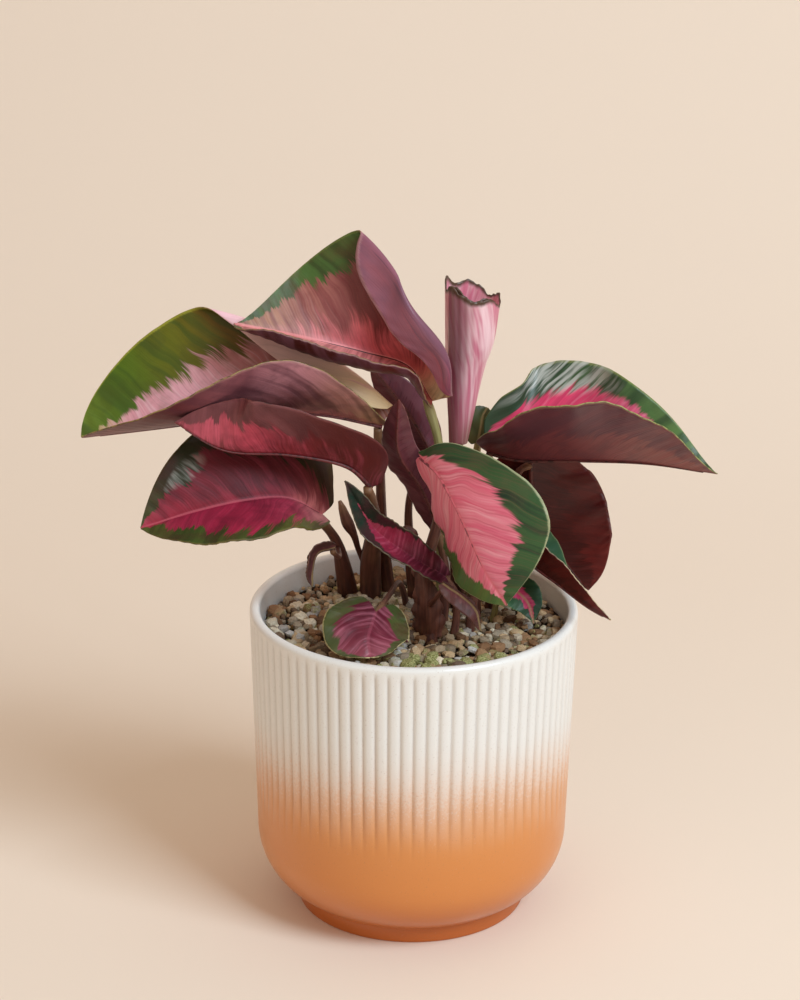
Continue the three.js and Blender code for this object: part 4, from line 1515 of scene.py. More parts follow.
UNDER_DARK = FaceFinish(
    left=MAROON,
    right=replace(MAROON, outer=((98, 28, 24), (90, 22, 18), (108, 34, 30))),
    bands=((62, 16, 16), 0.4),
    streaks=((112, 46, 46), 0.25),
    mottle=((50, 12, 12), 0.4),
    veins=((40, 8, 10), 0.36),
    midrib=((116, 54, 46), 0.4),
    margin=((134, 84, 74), 0.3),
    roughness=0.38,
)
ROSE = HalfFinish(((104, 52, 60), (108, 60, 68), (104, 58, 62)), ((96, 44, 54), (100, 50, 60)), (0.4, 0.4))
UNDER_ROSE = replace(
    UNDER_DARK,
    left=ROSE,
    right=ROSE,
    bands=((80, 38, 50), 0.4),
    mottle=((70, 32, 42), 0.3),
    margin=((160, 120, 110), 0.36),
)
DRY = HalfFinish(((92, 56, 50), (84, 48, 46), (104, 64, 54)), ((98, 50, 52), (80, 42, 44)), (0.5, 0.5))
WITHERED_FACE = FaceFinish(
    left=DRY,
    right=DRY,
    bands=((60, 36, 32), 0.5),
    streaks=((140, 90, 80), 0.3),
    mottle=((58, 34, 30), 0.4),
    margin=((120, 88, 66), 0.3),
    roughness=0.5,
)


class Finish(Enum):
    """The finishes of the blades."""

    LEFT_UPPER = LeafFinish(UPPER_LEFT_UPPER, UNDER_LEFT_UPPER, (150, 130, 70), (132, 74, 76))
    LEFT_MIDDLE = LeafFinish(UPPER_LEFT_LOWER, UNDER_LEFT_MIDDLE, (104, 48, 48), (104, 42, 44))
    LEFT_LOWER = LeafFinish(UPPER_LEFT_LOWER, UNDER_LEFT_MIDDLE, (110, 96, 48), (104, 42, 44))
    TOP = LeafFinish(UPPER_TOP, UNDER_TOP, (140, 110, 70), (84, 34, 32))
    RIGHT = LeafFinish(UPPER_RIGHT, UNDER_RIGHT, (150, 150, 86), (104, 52, 48))
    FRONT = LeafFinish(UPPER_FRONT, UNDER_ROSE, (200, 200, 150), (206, 100, 114))
    DARK = LeafFinish(UPPER_GREEN, UNDER_DARK, (110, 56, 46), (96, 36, 30))
    LOWER_RIGHT = LeafFinish(UPPER_GREEN, UNDER_DARK, (196, 176, 140), (96, 36, 30))
    GREEN = LeafFinish(UPPER_GREEN, UNDER_ROSE, (180, 184, 130))
    SMALL_FRONT = LeafFinish(UPPER_SMALL_FRONT, UNDER_ROSE, (206, 190, 140))
    FURLED = LeafFinish(UPPER_FURLED, UNDER_ROSE, (90, 80, 56), (140, 44, 64))
    OLIVE = LeafFinish(UPPER_OLIVE, UNDER_ROSE, (120, 116, 70), (110, 104, 60))
    ROSE = LeafFinish(UPPER_GREEN, UNDER_ROSE, (150, 96, 84), (104, 50, 48))
    WITHERED = LeafFinish(WITHERED_FACE, WITHERED_FACE, (110, 70, 52), (96, 60, 46))


# ---- Blades ----


@dataclass(frozen=True)
class Roll:
    """A fold line across the right half, over which the blade rolls onto its upper side.

    The line runs between two points of the flat blade. The columns are those of the right half
    between which it rolls. They stand no further out than the latest share of the half width, and
    at least the least share apart.
    """

    start: Pair
    end: Pair
    radius: float
    turn: float
    columns: tuple[int, int]
    latest: float = 0.8
    least: float = 0.1

    @property
    def past(self) -> Array:
        """The way across the fold line."""
        run = unit(np.subtract(self.end, self.start))
        return np.array([-run[1], run[0]])

    def depth(self, s: Array, t: Array) -> Array:
        """How far past the fold line flat points lie."""
        past = self.past
        return (s - self.start[0]) * past[0] + (t - self.start[1]) * past[1]

    def rolled(self, s: Array, t: Array) -> tuple[Array, Array, Array]:
        """Rolls what lies past the line over.

        Args:
            s: Distances along the flat blade.
            t: Distances across it.

        Returns:
            New distances along and across, and the height over the blade.
        """
        past = self.past
        depth = np.maximum(self.depth(s, t), 0)
        turn = np.minimum(depth / self.radius, math.radians(self.turn))
        rest = depth - turn * self.radius
        moved = self.radius * np.sin(turn) + rest * np.cos(turn) - depth
        height = self.radius * (1 - np.cos(turn)) + rest * np.sin(turn)
        return s + moved * past[0], t + moved * past[1], height


@dataclass(frozen=True)
class Wave:
    """The waves of a margin."""

    height: float
    count: float
    phase: float = 0.0
    right_shift: float = 1.3
    frill_rate: float = 4.3

    def ripple(self, u: Array, side: int) -> Array:
        """Height of the waves from -1 to 1, at shares of the length."""
        return np.sin(2 * np.pi * self.count * u + self.phase + self.right_shift * side)

    def frill(self, u: Array, side: int) -> Array:
        """Height of the finer, uneven waves at the very margin."""
        return np.sin(2 * np.pi * self.frill_rate * self.count * u + 3 * np.sin(9 * u) + side)


@dataclass
class Blade:
    """One leaf blade, given by its midrib, the outline of each half and how the halves stand.

    Pairs are for the left and the right half: its width, how its outline rises at the base and falls
    at the tip, how far it sweeps forward, and its lift and curl in degrees from base to tip. Cells are
    the rows and the columns of a half, and refine says how many of the mesh each one gets.
    """

    name: str
    path: tuple[Point, ...]
    face: Point
    half: Pair
    base: Pair
    tip: Pair
    sweep: Pair
    lift: tuple[tuple[float, ...], tuple[float, ...]]
    curl: tuple[tuple[float, ...], tuple[float, ...]]
    lobe: float
    wave: Wave
    cells: tuple[int, int]
    finish: Finish
    roll: Roll | None = None
    slot: Slot = Slot.LEAF_BLADE
    refine: tuple[int, int] = (8, 4)
    thickness: float = 0.5
    rib: float = 1.1
    rib_end: float = 0.94
    rib_rings: int = 40
    rib_sides: int = 10
    rib_taper: float = 0.75
    rib_flatness: float = 0.75
    groove: float = 0.4
    groove_width: float = 1.1
    quilt: float = 0.12
    ruffle: float = 0.25
    tip_half: float = 0.2
    rounding: float = 0.02
    midrib: Midrib = field(init=False)

    def __post_init__(self) -> None:
        """Samples the midrib."""
        self.midrib = Midrib(self.path, self.face)

    def outline(self, share: Array, side: int) -> Array:
        """Share of the full half width at shares of the length.

        Args:
            share: Shares of the length.
            side: 0 for the left half, 1 for the right one.

        Returns:
            Shares of the half width.
        """
        base, tip = self.base[side], self.tip[side]
        widest = (base - self.rounding * tip) / (base + tip)
        rise = ((share + self.rounding) / (widest + self.rounding)) ** base
        return rise * (np.maximum(1 - share, 0) / (1 - widest)) ** tip

    def flat(self, u: Array, reach: Array, side: int) -> tuple[Array, Array]:
        """Points of the blade laid flat.

        Args:
            u: Shares of the length.
            reach: Shares of the half width.
            side: 0 for the left half, 1 for the right one.

        Returns:
            Distances along the midrib and out from it.
        """
        t = reach * np.maximum(self.half[side] * self.outline(u, side), self.tip_half)
        swept = self.sweep[side] * t * np.minimum(3 * u, 1)
        lobe = self.lobe * np.maximum(1 - 2 * u, 0) ** 2 * np.sin(reach * np.pi / 2)
        return self.midrib.length * u + swept - lobe, t

    def right_columns(self, u: Array) -> Array:
        """Where the columns of the right half stand, gathered where the blade rolls over.

        Args:
            u: Shares of the length, one for each row.

        Returns:
            Rows by columns of shares of the half width.
        """
        count = self.cells[1] * self.refine[1]
        index = np.arange(count + 1)[None]
        if self.roll is None:
            return np.repeat(index / count, len(u), axis=0)
        near = self.roll.depth(*self.flat(u, np.zeros_like(u), 1))
        far = self.roll.depth(*self.flat(u, np.ones_like(u), 1))
        span = np.where(np.abs(far - near) < 1e-9, 1e-9, far - near)
        crossed = np.where(far > 0, -near / span, 1)
        start = np.minimum(crossed, self.roll.latest)[:, None]
        bend = (self.roll.radius * math.radians(self.roll.turn) / span)[:, None]
        end = start + np.minimum(np.maximum(bend, self.roll.least), (1 - start) / 2)
        first, last = (column * self.refine[1] for column in self.roll.columns)
        inside = start * index / first
        bent = start + (end - start) * (index - first) / (last - first)
        outside = end + (1 - end) * (index - last) / (count - last)
        return np.where(index <= first, inside, np.where(index <= last, bent, outside))

    def half_points(self, u: Array, reach: Array, side: int) -> tuple[Array, Array]:
        """Points of one half of the blade.

        Args:
            u: Shares of the length, rows by columns.
            reach: Shares of the half width, rows by columns.
            side: 0 for the left half, 1 for the right one.

        Returns:
            The points, and the flat distances along and across with the sign of the side.
        """
        sign = 1 if side else -1
        full = self.outline(u, side)
        s, t = self.flat(u, reach, side)
        flat = stacked(s, sign * t)
        start = s - VEIN_LEAN * t - VEIN_CURVE * t**2
        height = self.quilt * np.cos(2 * np.pi * start / VEIN_SPACING) * np.sin(np.pi * reach)
        if self.roll is not None and side:
            s, t, rolled = self.roll.rolled(s, t)
            height = height * np.where(rolled > 0, 0.3, 1.0) + rolled
        height = height + self.wave.height * self.wave.ripple(u, side) * reach**2 * full
        height = height + self.ruffle * self.wave.frill(u, side) * reach**8 * full
        share = np.clip(s / self.midrib.length, 0, 1)
        lift = np.radians(eased(self.lift[side], share))
        bend = np.radians(eased(self.curl[side], share)) / self.half[side]
        bend = np.where(bend == 0, 1e-6, bend)
        angle = lift + bend * t
        out = (np.sin(angle) - np.sin(lift)) / bend - height * np.sin(angle)
        rise = (np.cos(lift) - np.cos(angle)) / bend + height * np.cos(angle)
        point, _, up, across = self.midrib.at(s)
        groove = self.groove * np.exp(-((flat[..., 1] / self.groove_width) ** 2)) * np.minimum(full * 3, 1)
        return point + across * (sign * out)[..., None] + up * (rise - groove)[..., None], flat

    def sheet(self) -> Piece:
        """The blade as a thin sheet, its upper side in the way of its normals.

        Returns:
            The sheet.
        """
        rows = self.cells[0] * self.refine[0]
        share = np.arange(rows + 1) / rows
        # Rows stand closer together near the base and the tip
        u = share - 0.1 * np.sin(2 * np.pi * share)
        columns = self.cells[1] * self.refine[1]
        left = np.repeat(1 - np.arange(columns)[None] / columns, rows + 1, axis=0)
        right = self.right_columns(u)
        halves = [
            self.half_points(np.broadcast_to(u[:, None], reach.shape), reach, side)
            for side, reach in enumerate((left, right))
        ]
        points, flat = (np.concatenate(pair, axis=1) for pair in zip(*halves, strict=True))
        reach = np.concatenate([-left, right], axis=1)
        maps = {"Leaf": stacked(u[:, None], 0.5 + 0.5 * reach), "Flat": flat * MM + (0.0, 0.5)}
        return grid_piece(self.name + "_blade", points, maps)

    def rib_tube(self) -> Piece:
        """The raised midrib under the blade.

        Returns:
            The rib.
        """
        share = np.linspace(0, 1, self.rib_rings)
        radius = self.rib * (1 - self.rib_taper * share)[:, None]
        point, _, up, across = self.midrib.at(share * self.rib_end * self.midrib.length)
        centre = point - up * (self.groove + 0.35 * radius)
        angle = full_turn(self.rib_sides)
        x, y = radius * np.cos(angle), self.rib_flatness * radius * np.sin(angle)
        uv = stacked(share[:, None], np.linspace(0, 1, self.rib_sides + 1))
        rings = rings_along(centre, across, up, x, y)
        return ringed_piece(self.name + "_rib", rings, {"Leaf": uv, "Flat": uv * 0})

    def make(self, paints: LeafPaint, seed: float) -> None:
        """Builds the blade, dresses both faces and puts it in place of its node.

        Args:
            paints: Maker of the blade's materials.
            seed: Shifts the markings.
        """
        piece = self.sheet()
        finish = self.finish.value
        dress(
            piece,
            paints.face(self.name + "_upper", finish.upper, seed),
            paints.face(self.name + "_under", finish.under, seed + 40),
            paints.edge(self.name + "_edge", finish.edge),
        )
        thicken(piece, self.thickness, use_rim=True, material_offset=1, material_offset_rim=2)
        rib = self.rib_tube()
        dress(rib, paints.edge(self.name + "_midrib", finish.rib))
        settle(join_pieces(self.name + "_blade", [piece, rib]), self.slot, self.name)


@dataclass
class Scroll:
    """The new leaf, still rolled into a tapering scroll with a ragged rim."""

    axis: tuple[Point, ...] = ((18, 24, 201), (20, 24, 232), (22, 24, 247), (23, 24, 268))
    radius: tuple[float, ...] = (4.7, 8.9, 11.2, 12.6)
    turns: float = 1.3
    pitch: float = 1.8
    seam: float = 221.0
    raggedness: float = 1.6
    cells: tuple[int, int] = (84, 180)
    thickness: float = 0.5

    def sheet(self) -> Piece:
        """The scroll as a thin sheet, its outer side in the way of its normals.

        Returns:
            The sheet.
        """
        rows, columns = self.cells
        u = np.linspace(0, 1, rows + 1)[:, None]
        turned = self.turns * np.arange(columns + 1)[None] / columns
        angle = math.radians(self.seam) + 2 * np.pi * turned
        radius = eased(self.radius, u) - self.pitch * turned
        radius = radius + 0.12 * np.sin(26 * angle + 9 * u) * u
        torn = self.raggedness * u**6 * (np.sin(5 * angle) - 2.4 * np.cos(angle))
        teeth = 0.7 * np.sin(7 * angle) + 0.5 * np.sin(12.7 * angle + 1.0) + 0.3 * np.sin(29.3 * angle)
        frayed = u**24 * (0.55 + 0.45 * np.sin(2.3 * angle + 4.0)) * teeth
        offset = stacked(radius * np.cos(angle), radius * np.sin(angle), torn + frayed)
        points = eased(self.axis, u[:, 0])[:, None] + offset
        uv = stacked(u, turned / self.turns)
        return grid_piece("leaf_rolled_scroll", points, {"Leaf": uv, "Flat": uv * 0.07})

    def skin(self) -> Material:
        """Pink-lilac with pale highlights, a maroon strip by the seam and a brown ragged rim.

        Returns:
            The material.
        """
        nodes = Surface.new("new_leaf_skin", 0.4)
        along, around = nodes.uv("Leaf")
        slant = nodes.plus(nodes.times(around, 18.0), nodes.times(along, 3.0))
        lines = nodes.noise(nodes.place(slant, nodes.times(along, 1.2), 3.0), 1.5, 2.5, 0.55)
        skin = nodes.mix(nodes.step(lines, 0.34, 0.66), (212, 122, 144), (252, 214, 218))
        deep = nodes.step(nodes.noise(nodes.place(slant, along, 9.0), 0.7), 0.55, 0.68, 0.0, 0.55)
        skin = nodes.mix(deep, skin, (150, 62, 96))
        seam = nodes.step(around, 0.14, 0.05)
        skin = nodes.mix(nodes.times(seam, 0.8), skin, (118, 48, 66))
        foot = nodes.step(along, 0.25, 0.0, 0.0, 0.6)
        skin = nodes.mix(foot, skin, (150, 92, 88))
        rim = nodes.step(nodes.plus(along, nodes.times(lines, 0.06)), 0.985, 1.02)
        skin = nodes.mix(rim, skin, (84, 60, 44))
        nodes.give("Base Color", skin)
        nodes.bump(lines, 0.15, 0.4)
        return nodes.material

    def make(self) -> None:
        """Builds the scroll, dresses it and puts it in place of its node."""
        piece = self.sheet()
        edit(piece, lambda: bpy.ops.mesh.flip_normals())
        dress(piece, self.skin())
        thicken(piece, self.thickness)
        settle(piece, Slot.NEW_LEAF, "leaf_rolled")


# ---- Stalks ----


@dataclass
class Stalk:
    """One stalk from its foot in the soil to the base of its blade, with what grew on it.

    It starts sunk in the soil, leaves the gravel at the mouth, has shallow ridges along it and a
    slightly thicker knee near its end. A side stem is given by its radii and its points.
    """

    name: str
    foot: Pair
    radius: tuple[float, ...]
    points: tuple[Point, ...]
    end: Point
    finish: str
    side_stems: tuple[tuple[tuple[float, ...], tuple[Point, ...]], ...] = ()
    extras: tuple[Piece, ...] = ()
    slot: Slot = Slot.STALK
    sunk: float = 108.0
    mouth: float = 124.0
    sides: int = 16
    rings: int = 60
    side_rings: int = 26
    ridge: float = 0.05
    knee: float = 0.18
    knee_at: float = 0.93

    def tube(self, name: str, points: Sequence[Point], radii: Sequence[float], rows: int) -> Piece:
        """A slightly ridged stem through points.

        Args:
            name: Name of the mesh.
            points: Points on its middle line.
            radii: Radii along it.
            rows: Rings along it.

        Returns:
            The stem.
        """
        share = np.linspace(0, 1, rows)
        middle = eased(points, share)
        ahead = unit(np.gradient(middle, axis=0))
        across = unit(np.cross(ahead, (1.0, 0.0, 0.0)))
        out = np.cross(ahead, across)
        angle = full_turn(self.sides)
        ridges = 1 + self.ridge * np.cos(5 * angle + 1)
        knee = 1 + self.knee * np.exp(-(((share - self.knee_at) / 0.05) ** 2))
        ring = (eased(radii, share) * knee)[:, None] * ridges
        rings = rings_along(middle, across, out, ring * np.cos(angle), ring * np.sin(angle))
        uv = stacked(share[:, None], np.linspace(0, 1, self.sides + 1))
        return ringed_piece(name, rings, {"Stem": uv})

    def make(self, finishes: dict[str, Material]) -> None:
        """Builds the stalk with its side stems and puts it in place of its node.

        Args:
            finishes: Stalk materials by name.
        """
        x, y = self.foot
        path = [(x, y, self.sunk), (x, y, self.mouth), *self.points, self.end]
        parts = [self.tube(self.name, path, (self.radius[0], *self.radius), self.rings)]
        for radii, points in self.side_stems:
            parts.append(self.tube(self.name + "_side", points, radii, self.side_rings))
        for part in parts:
            dress(part, finishes[self.finish])
        parts.extend(self.extras)
        settle(join_pieces(self.name + "_stem", parts), self.slot, self.name)


def stem_finish(name: str, dark: Rgb, light: Rgb, top: Rgb) -> Material:
    """Stalk skin with lengthwise streaks, mottled, paler near the blade.

    Args:
        name: Name of the material.
        dark: Display colour of the dark streaks.
        light: Display colour of the skin.
        top: Display colour near the blade.

    Returns:
        The material.
    """
    nodes = Surface.new(name, 0.5, 0.4)
    along, around = nodes.uv("Stem")
    drawn = nodes.place(nodes.times(along, 3.0), nodes.times(around, 9.0))
    streaks = nodes.noise(drawn, 1.5, 3.0, 0.6)
    colour = nodes.mix(nodes.step(streaks, 0.3, 0.72), dark, light)
    mottle = nodes.step(nodes.noise(nodes.object_place(), 110.0), 0.5, 0.75, 0.0, 0.25)
    colour = nodes.mix(mottle, colour, top)
    colour = nodes.mix(nodes.step(along, 0.8, 0.98, 0.0, 0.7), colour, top)
    nodes.give("Base Color", colour)
    nodes.bump(streaks, 0.2, 0.4)
    return nodes.material


# ---- The plant ----


def blades() -> list[Blade]:
    """All open blades with their sizes and finishes.

    Returns:
        The blades, in the order of the frame's nodes.
    """
    return [
        Blade(
            "leaf_left_upper",
            ((-14, 9, 213.4), (-40, 3, 220.4), (-69.3, -1, 221.4), (-99.5, -5, 217.4), (-138.8, -7, 212.4)),
            (0, -0.17, 0.99), (42.9, 47.4), (1.01, 0.5), (0.58, 0.73), (-0.35, 0.26),
            ((46, 43, 25, 35), (66, 68, 55, 42)), ((30, 40, 35, 20), (5, 0, 0, 0)), 3,
            Wave(1, 3), (16, 7), Finish.LEFT_UPPER, Roll((0, 7), (64.2, 40.9), 2.6, 174, (3, 5)),
        ),
        Blade(
            "leaf_left_middle",
            ((-18, -16, 195), (-29, -20, 206), (-52, -24, 212), (-78, -28, 215), (-98, -32, 228)),
            (0, 0.57, 0.82), (30.3, 18), (0.81, 0.8), (1.04, 0.9), (0.53, 0.2),
            ((32, 21, 30, 58), (60, 60, 60, 50)), ((0,), (0,)), 1.4,
            Wave(0.6, 3, 1), (12, 4), Finish.LEFT_MIDDLE,
        ),
        Blade(
            "leaf_left_lower",
            ((-39, -4, 178), (-53, -12, 188), (-70, -20, 190), (-91, -26, 187), (-113, -30, 181)),
            (0, -0.64, 0.77), (28.1, 35.9), (0.8, 0.7), (0.86, 0.89), (0.15, 0),
            ((30,), (30,)), ((-10,), (-10,)), 3, Wave(0.7, 4), (12, 5), Finish.LEFT_LOWER,
        ),
        Blade(
            "leaf_top",
            ((7, 10, 224), (-3, 8, 240), (-21, 5, 247), (-48, 0, 255), (-75, -6, 262)),
            (0, -0.3, 0.95), (25.2, 55.3), (0.51, 0.81), (0.51, 1.4), (0.2, 0.05),
            ((1, -31, -31, 2), (100, 106, 61, 35, 37)), ((120,), (0, 7, 0)), 0,
            Wave(0.4, 5), (16, 8), Finish.TOP, Roll((0, 9), (51.7, 43.8), 2.5, 167, (3, 6)),
        ),
        Blade(
            "leaf_right",
            ((30, 4, 204), (44, 0, 202), (69, -6, 204), (97, -12, 205), (125, -16, 202)),
            (0, -0.17, 0.99), (43.5, 55.3), (0.59, 0.84), (1.2, 1.34), (0.04, 0.15),
            ((60, 44, 62, 36), (50, 51, 56, 56)), ((0,), (0,)), 4, Wave(1, 4), (14, 5), Finish.RIGHT,
        ),
        Blade(
            "leaf_front",
            ((2, -12, 207), (10, -22, 202), (19, -34, 188), (28, -42, 170), (38, -44, 154)),
            (0, -0.9, 0.45), (37.2, 29.1), (1.3, 0.84), (1.13, 0.9), (0.14, 0.1),
            ((40,), (-55, -60, -55, -35)), ((-20,), (-25,)), 2, Wave(0.8, 4), (14, 5), Finish.FRONT,
        ),
        Blade(
            "leaf_back_right",
            ((49, 14, 197), (50, 16, 183), (56, 16, 164), (66, 14, 149), (75, 10, 139)),
            (0.1, 0.8, 0.4), (20, 29.1), (0.45, 0.37), (1.1, 0.4), (0.15, -0.06),
            ((10,), (22,)), ((0,), (0,)), 3, Wave(0.8, 4, 2), (12, 4), Finish.DARK,
        ),
        Blade(
            "leaf_lower_right",
            ((36, 0, 170), (49, -6, 158), (60, -14, 152), (72, -22, 145), (82, -28, 141)),
            (0.3, -0.2, 0.9), (17.6, 12.4), (0.79, 0.3), (2.95, 0.9), (0.15, 0.15),
            ((26,), (83,)), ((0,), (0,)), 2, Wave(0.4, 4), (10, 3), Finish.LOWER_RIGHT,
        ),
        Blade(
            "leaf_small_right",
            ((39, 4, 143), (45, 0, 141), (49, -3, 137), (51, -6, 130)),
            (0, -0.6, 0.8), (9, 9), (0.5, 0.5), (1.2, 1.2), (0.15, 0.15),
            ((0,), (10,)), ((0,), (0,)), 2, Wave(0.3, 3), (8, 3), Finish.GREEN, rib=0.6,
        ),
        Blade(
            "leaf_small_front",
            ((-16, -26, 143), (-17, -30, 141), (-19, -38, 136), (-18, -44, 130)),
            (0, -0.8, 0.6), (17, 20), (0.42, 0.42), (0.55, 0.6), (0.15, 0.05),
            ((0,), (0,)), ((0,), (0,)), 6, Wave(0.6, 4), (10, 4), Finish.SMALL_FRONT, rib=0.6,
        ),
        Blade(
            "leaf_centre_furled",
            ((13, -12, 154), (-2, -17, 165), (-17, -22, 179), (-29, -26, 201)),
            (-0.2, -0.6, 0.7), (11, 9.5), (0.45, 0.7), (1.06, 0.8), (0.3, 0.13),
            ((20,), (30,)), ((40,), (40,)), 2, Wave(0.4, 4, 1), (10, 4), Finish.FURLED, rib=0.8,
        ),
        Blade(
            "leaf_centre_upright",
            ((11, 4, 167), (3, 0, 188), (-7, -9, 208), (-7, -16, 233)),
            (0.2, 0.9, 0.2), (9, 10), (0.6, 0.6), (0.8, 0.8), (0.1, 0.1),
            ((15,), (15,)), ((20,), (20,)), 2, Wave(0.4, 3), (10, 4), Finish.ROSE, rib=0.8,
        ),
        Blade(
            "leaf_behind_top",
            ((7, 16, 198), (0, 17, 211), (-9, 18, 224), (-19, 18, 237)),
            (-0.3, 0.9, 0.5), (10, 10), (0.5, 0.5), (0.8, 0.8), (0.15, 0.15),
            ((20,), (20,)), ((0,), (0,)), 2, Wave(0.3, 3), (8, 3), Finish.ROSE, rib=0.8,
        ),
        Blade(
            "leaf_behind_roll",
            ((27, 34, 198), (28, 36, 203), (29, 38, 208), (31, 40, 211)),
            (0.1, -0.6, 0.8), (8, 8), (0.5, 0.5), (0.8, 0.8), (0.15, 0.15),
            ((20,), (20,)), ((0,), (0,)), 2, Wave(0.3, 3), (8, 3), Finish.OLIVE, rib=0.6,
        ),
        Blade(
            "leaf_droop_front",
            ((12, -28, 157), (21, -32, 152), (26, -34, 147), (28, -34, 138)),
            (0.3, -0.3, 0.9), (6, 6), (0.5, 0.5), (0.8, 0.8), (0.15, 0.15),
            ((-30,), (-30,)), ((0,), (0,)), 1, Wave(0.3, 3), (8, 2), Finish.WITHERED,
            slot=Slot.DRY_LEAF, rib=0.5,
        ),
        Blade(
            "leaf_droop_left",
            ((-34, -4, 163), (-41, -8, 162), (-43, -12, 156), (-43, -14, 149)),
            (-0.6, 0.3, 0.6), (5, 5), (0.5, 0.5), (0.8, 0.8), (0.15, 0.15),
            ((30,), (30,)), ((0,), (0,)), 1, Wave(0.2, 3), (8, 2), Finish.WITHERED,
            slot=Slot.DRY_LEAF, rib=0.5,
        ),
    ]


def stem_end(blade: Blade, radius: float, aside: float = 0.0) -> Point:
    """Where a stem meets the underside of a blade.

    Args:
        blade: The blade that it carries.
        radius: Radius of the stem's end.
        aside: Shift across the blade.

    Returns:
        The last point of the stem.
    """
    point, ahead, up, across = (part[0] for part in blade.midrib.at(np.zeros(1)))
    end = point - up * (radius + 0.35) + ahead * 1.5 + across * aside
    return (float(end[0]), float(end[1]), float(end[2]))


@dataclass
class Plant:
    """All blades and stalks."""

    leaves: dict[str, Blade] = field(default_factory=lambda: {blade.name: blade for blade in blades()})
    sheath_thickness: float = 1.0

    def stalks(self) -> list[Stalk]:
        """All stalks with what grew on them.

        Returns:
            The stalks.
        """
        rows: list[tuple[str, Pair, tuple[float, ...], tuple[Point, ...], str]] = [
            ("left_upper", (-11, 38), (3, 2.4, 1.9, 1.7), ((-14, 28, 160), (-15, 14, 195)), "stalk_brown"),
            ("left_middle", (-19, 35), (4.6, 4.4, 2.8, 1.9), ((-19, 24, 145), (-17, 6, 172)), "stalk_brown"),
            ("left_lower", (-29, 38), (4.5, 3.6, 2.2, 1.7), ((-31, 28, 142), (-34, 14, 160)), "stalk_brown"),
            ("top", (12, 14), (2.4, 2, 1.9, 1.8), ((11, 12, 170), (10, 9, 203)), "stalk_olive"),
            ("right", (26, 12), (3, 2.5, 1.9, 1.7), ((25, 10, 160), (24, 7, 190)), "stalk_brown"),
            ("front", (7, -14), (3.2, 2.8, 2.1, 1.7), ((4, -6, 150), (10, -4, 180)), "stalk_brown"),
            ("back_right", (33, 20), (2.6, 2, 1.6, 1.4), ((37, 16, 165), (43, 12, 190)), "stalk_brown"),
            ("lower_right", (24, -2), (2.4, 2, 1.6, 1.4), ((26, -1, 145), (30, 0, 160)), "stalk_brown"),
            ("small_right", (34, 6), (1.5, 1.3, 1.2, 1.2), ((35, 6, 132), (36, 5.6, 137)), "stalk_olive"),
            ("small_front", (-3, 22), (1.5, 1.3, 1.2, 1.2), ((-6, 8, 142), (-10, -8, 144)), "stalk_brown"),
            ("centre_furled", (17, -10), (1.8, 1.6, 1.4, 1.4), ((18, -9, 135), (17, -9, 146)), "stalk_brown"),
            ("centre_upright", (12, 2), (2.6, 2.2, 1.8, 1.5), ((13, 2, 140), (13, 2, 152)), "stalk_brown"),
            ("behind_top", (0, 33), (2.6, 2.2, 1.5, 1.4), ((-2, 28, 150), (-2, 20, 178)), "stalk_brown"),
            ("behind_roll", (25, 34), (2, 1.8, 1.5, 1.4), ((26, 35, 150), (25, 35, 175)), "stalk_olive"),
        ]
        bud = ((-20, 27, 139), (-24, 24, 151), (-26, 21, 159), (-29, 19, 166), (-32, 17, 176))
        left = ((-33, 17, 155), (-32, 3, 156), stem_end(self.leaves["leaf_droop_left"], 1.0))
        front = ((5.5, -10, 138), (9, -22, 148), stem_end(self.leaves["leaf_droop_front"], 1.0))
        side_stems = {
            "left_middle": (((1.1, 1.2, 1.6, 2.6, 0.8), bud),),
            "left_lower": (((1.2, 1.1, 1.0), left),),
            "front": (((1.4, 1.2, 1.0), front),),
        }
        stalks = []
        for name, foot, radius, points, finish in rows:
            aside = -1.2 if name == "front" else 0.0
            end = stem_end(self.leaves["leaf_" + name], radius[-1], aside)
            stalk = Stalk("stalk_" + name, foot, radius, points, end, finish, side_stems.get(name, ()))
            pale = finish == "stalk_olive"
            stalks.append(replace(stalk, slot=Slot.PALE_STALK) if pale else stalk)
        path = ((18, 24, 150), (17, 24, 176))
        rolled = Stalk("stalk_rolled", (19, 22), (3, 2.6, 2.3, 2.2), path, (18, 24, 200.7), "stalk_brown")
        return [*stalks, rolled]

    def sheaths(self, finish: Material) -> Iterator[Piece]:
        """The spent sheaths on the front stalk, one round its foot and one higher up.

        Args:
            finish: Their material.

        Yields:
            Each sheath.
        """
        shapes = (
            Blade(
                "sheath_foot",
                ((7, -15, 126.2), (6, -15.5, 136), (5, -14.5, 147), (3, -12, 157)),
                (0, 1, 0.1), (9, 9), (0.12, 0.12), (0.8, 0.6), (0, 0),
                ((5,), (5,)), ((75,), (75,)), 0, Wave(0.8, 4), (9, 4), Finish.WITHERED,
            ),
            Blade(
                "sheath_upper",
                ((4, -7, 150), (1, -6, 158), (-2, -4, 166), (-4, -2, 172)),
                (0, 1, 0.1), (5, 6), (0.5, 0.5), (0.4, 0.4), (0, 0),
                ((15,), (15,)), ((60,), (60,)), 0, Wave(1.2, 3, 1), (6, 2), Finish.WITHERED,
            ),
        )
        for shape in shapes:
            piece = shape.sheet()
            dress(piece, finish)
            thicken(piece, self.sheath_thickness)
            write_uv(piece, "Stem", self.stem_map(piece))
            yield piece

    @staticmethod
    def stem_map(piece: Piece) -> Array:
        """A map along and round a stem-like strip from the places of its vertices.

        Args:
            piece: The strip.

        Returns:
            Two numbers for each vertex.
        """
        x, _, z = vertices_of(piece).T
        return stacked((z - z.min()) * 0.015, x * 0.06)

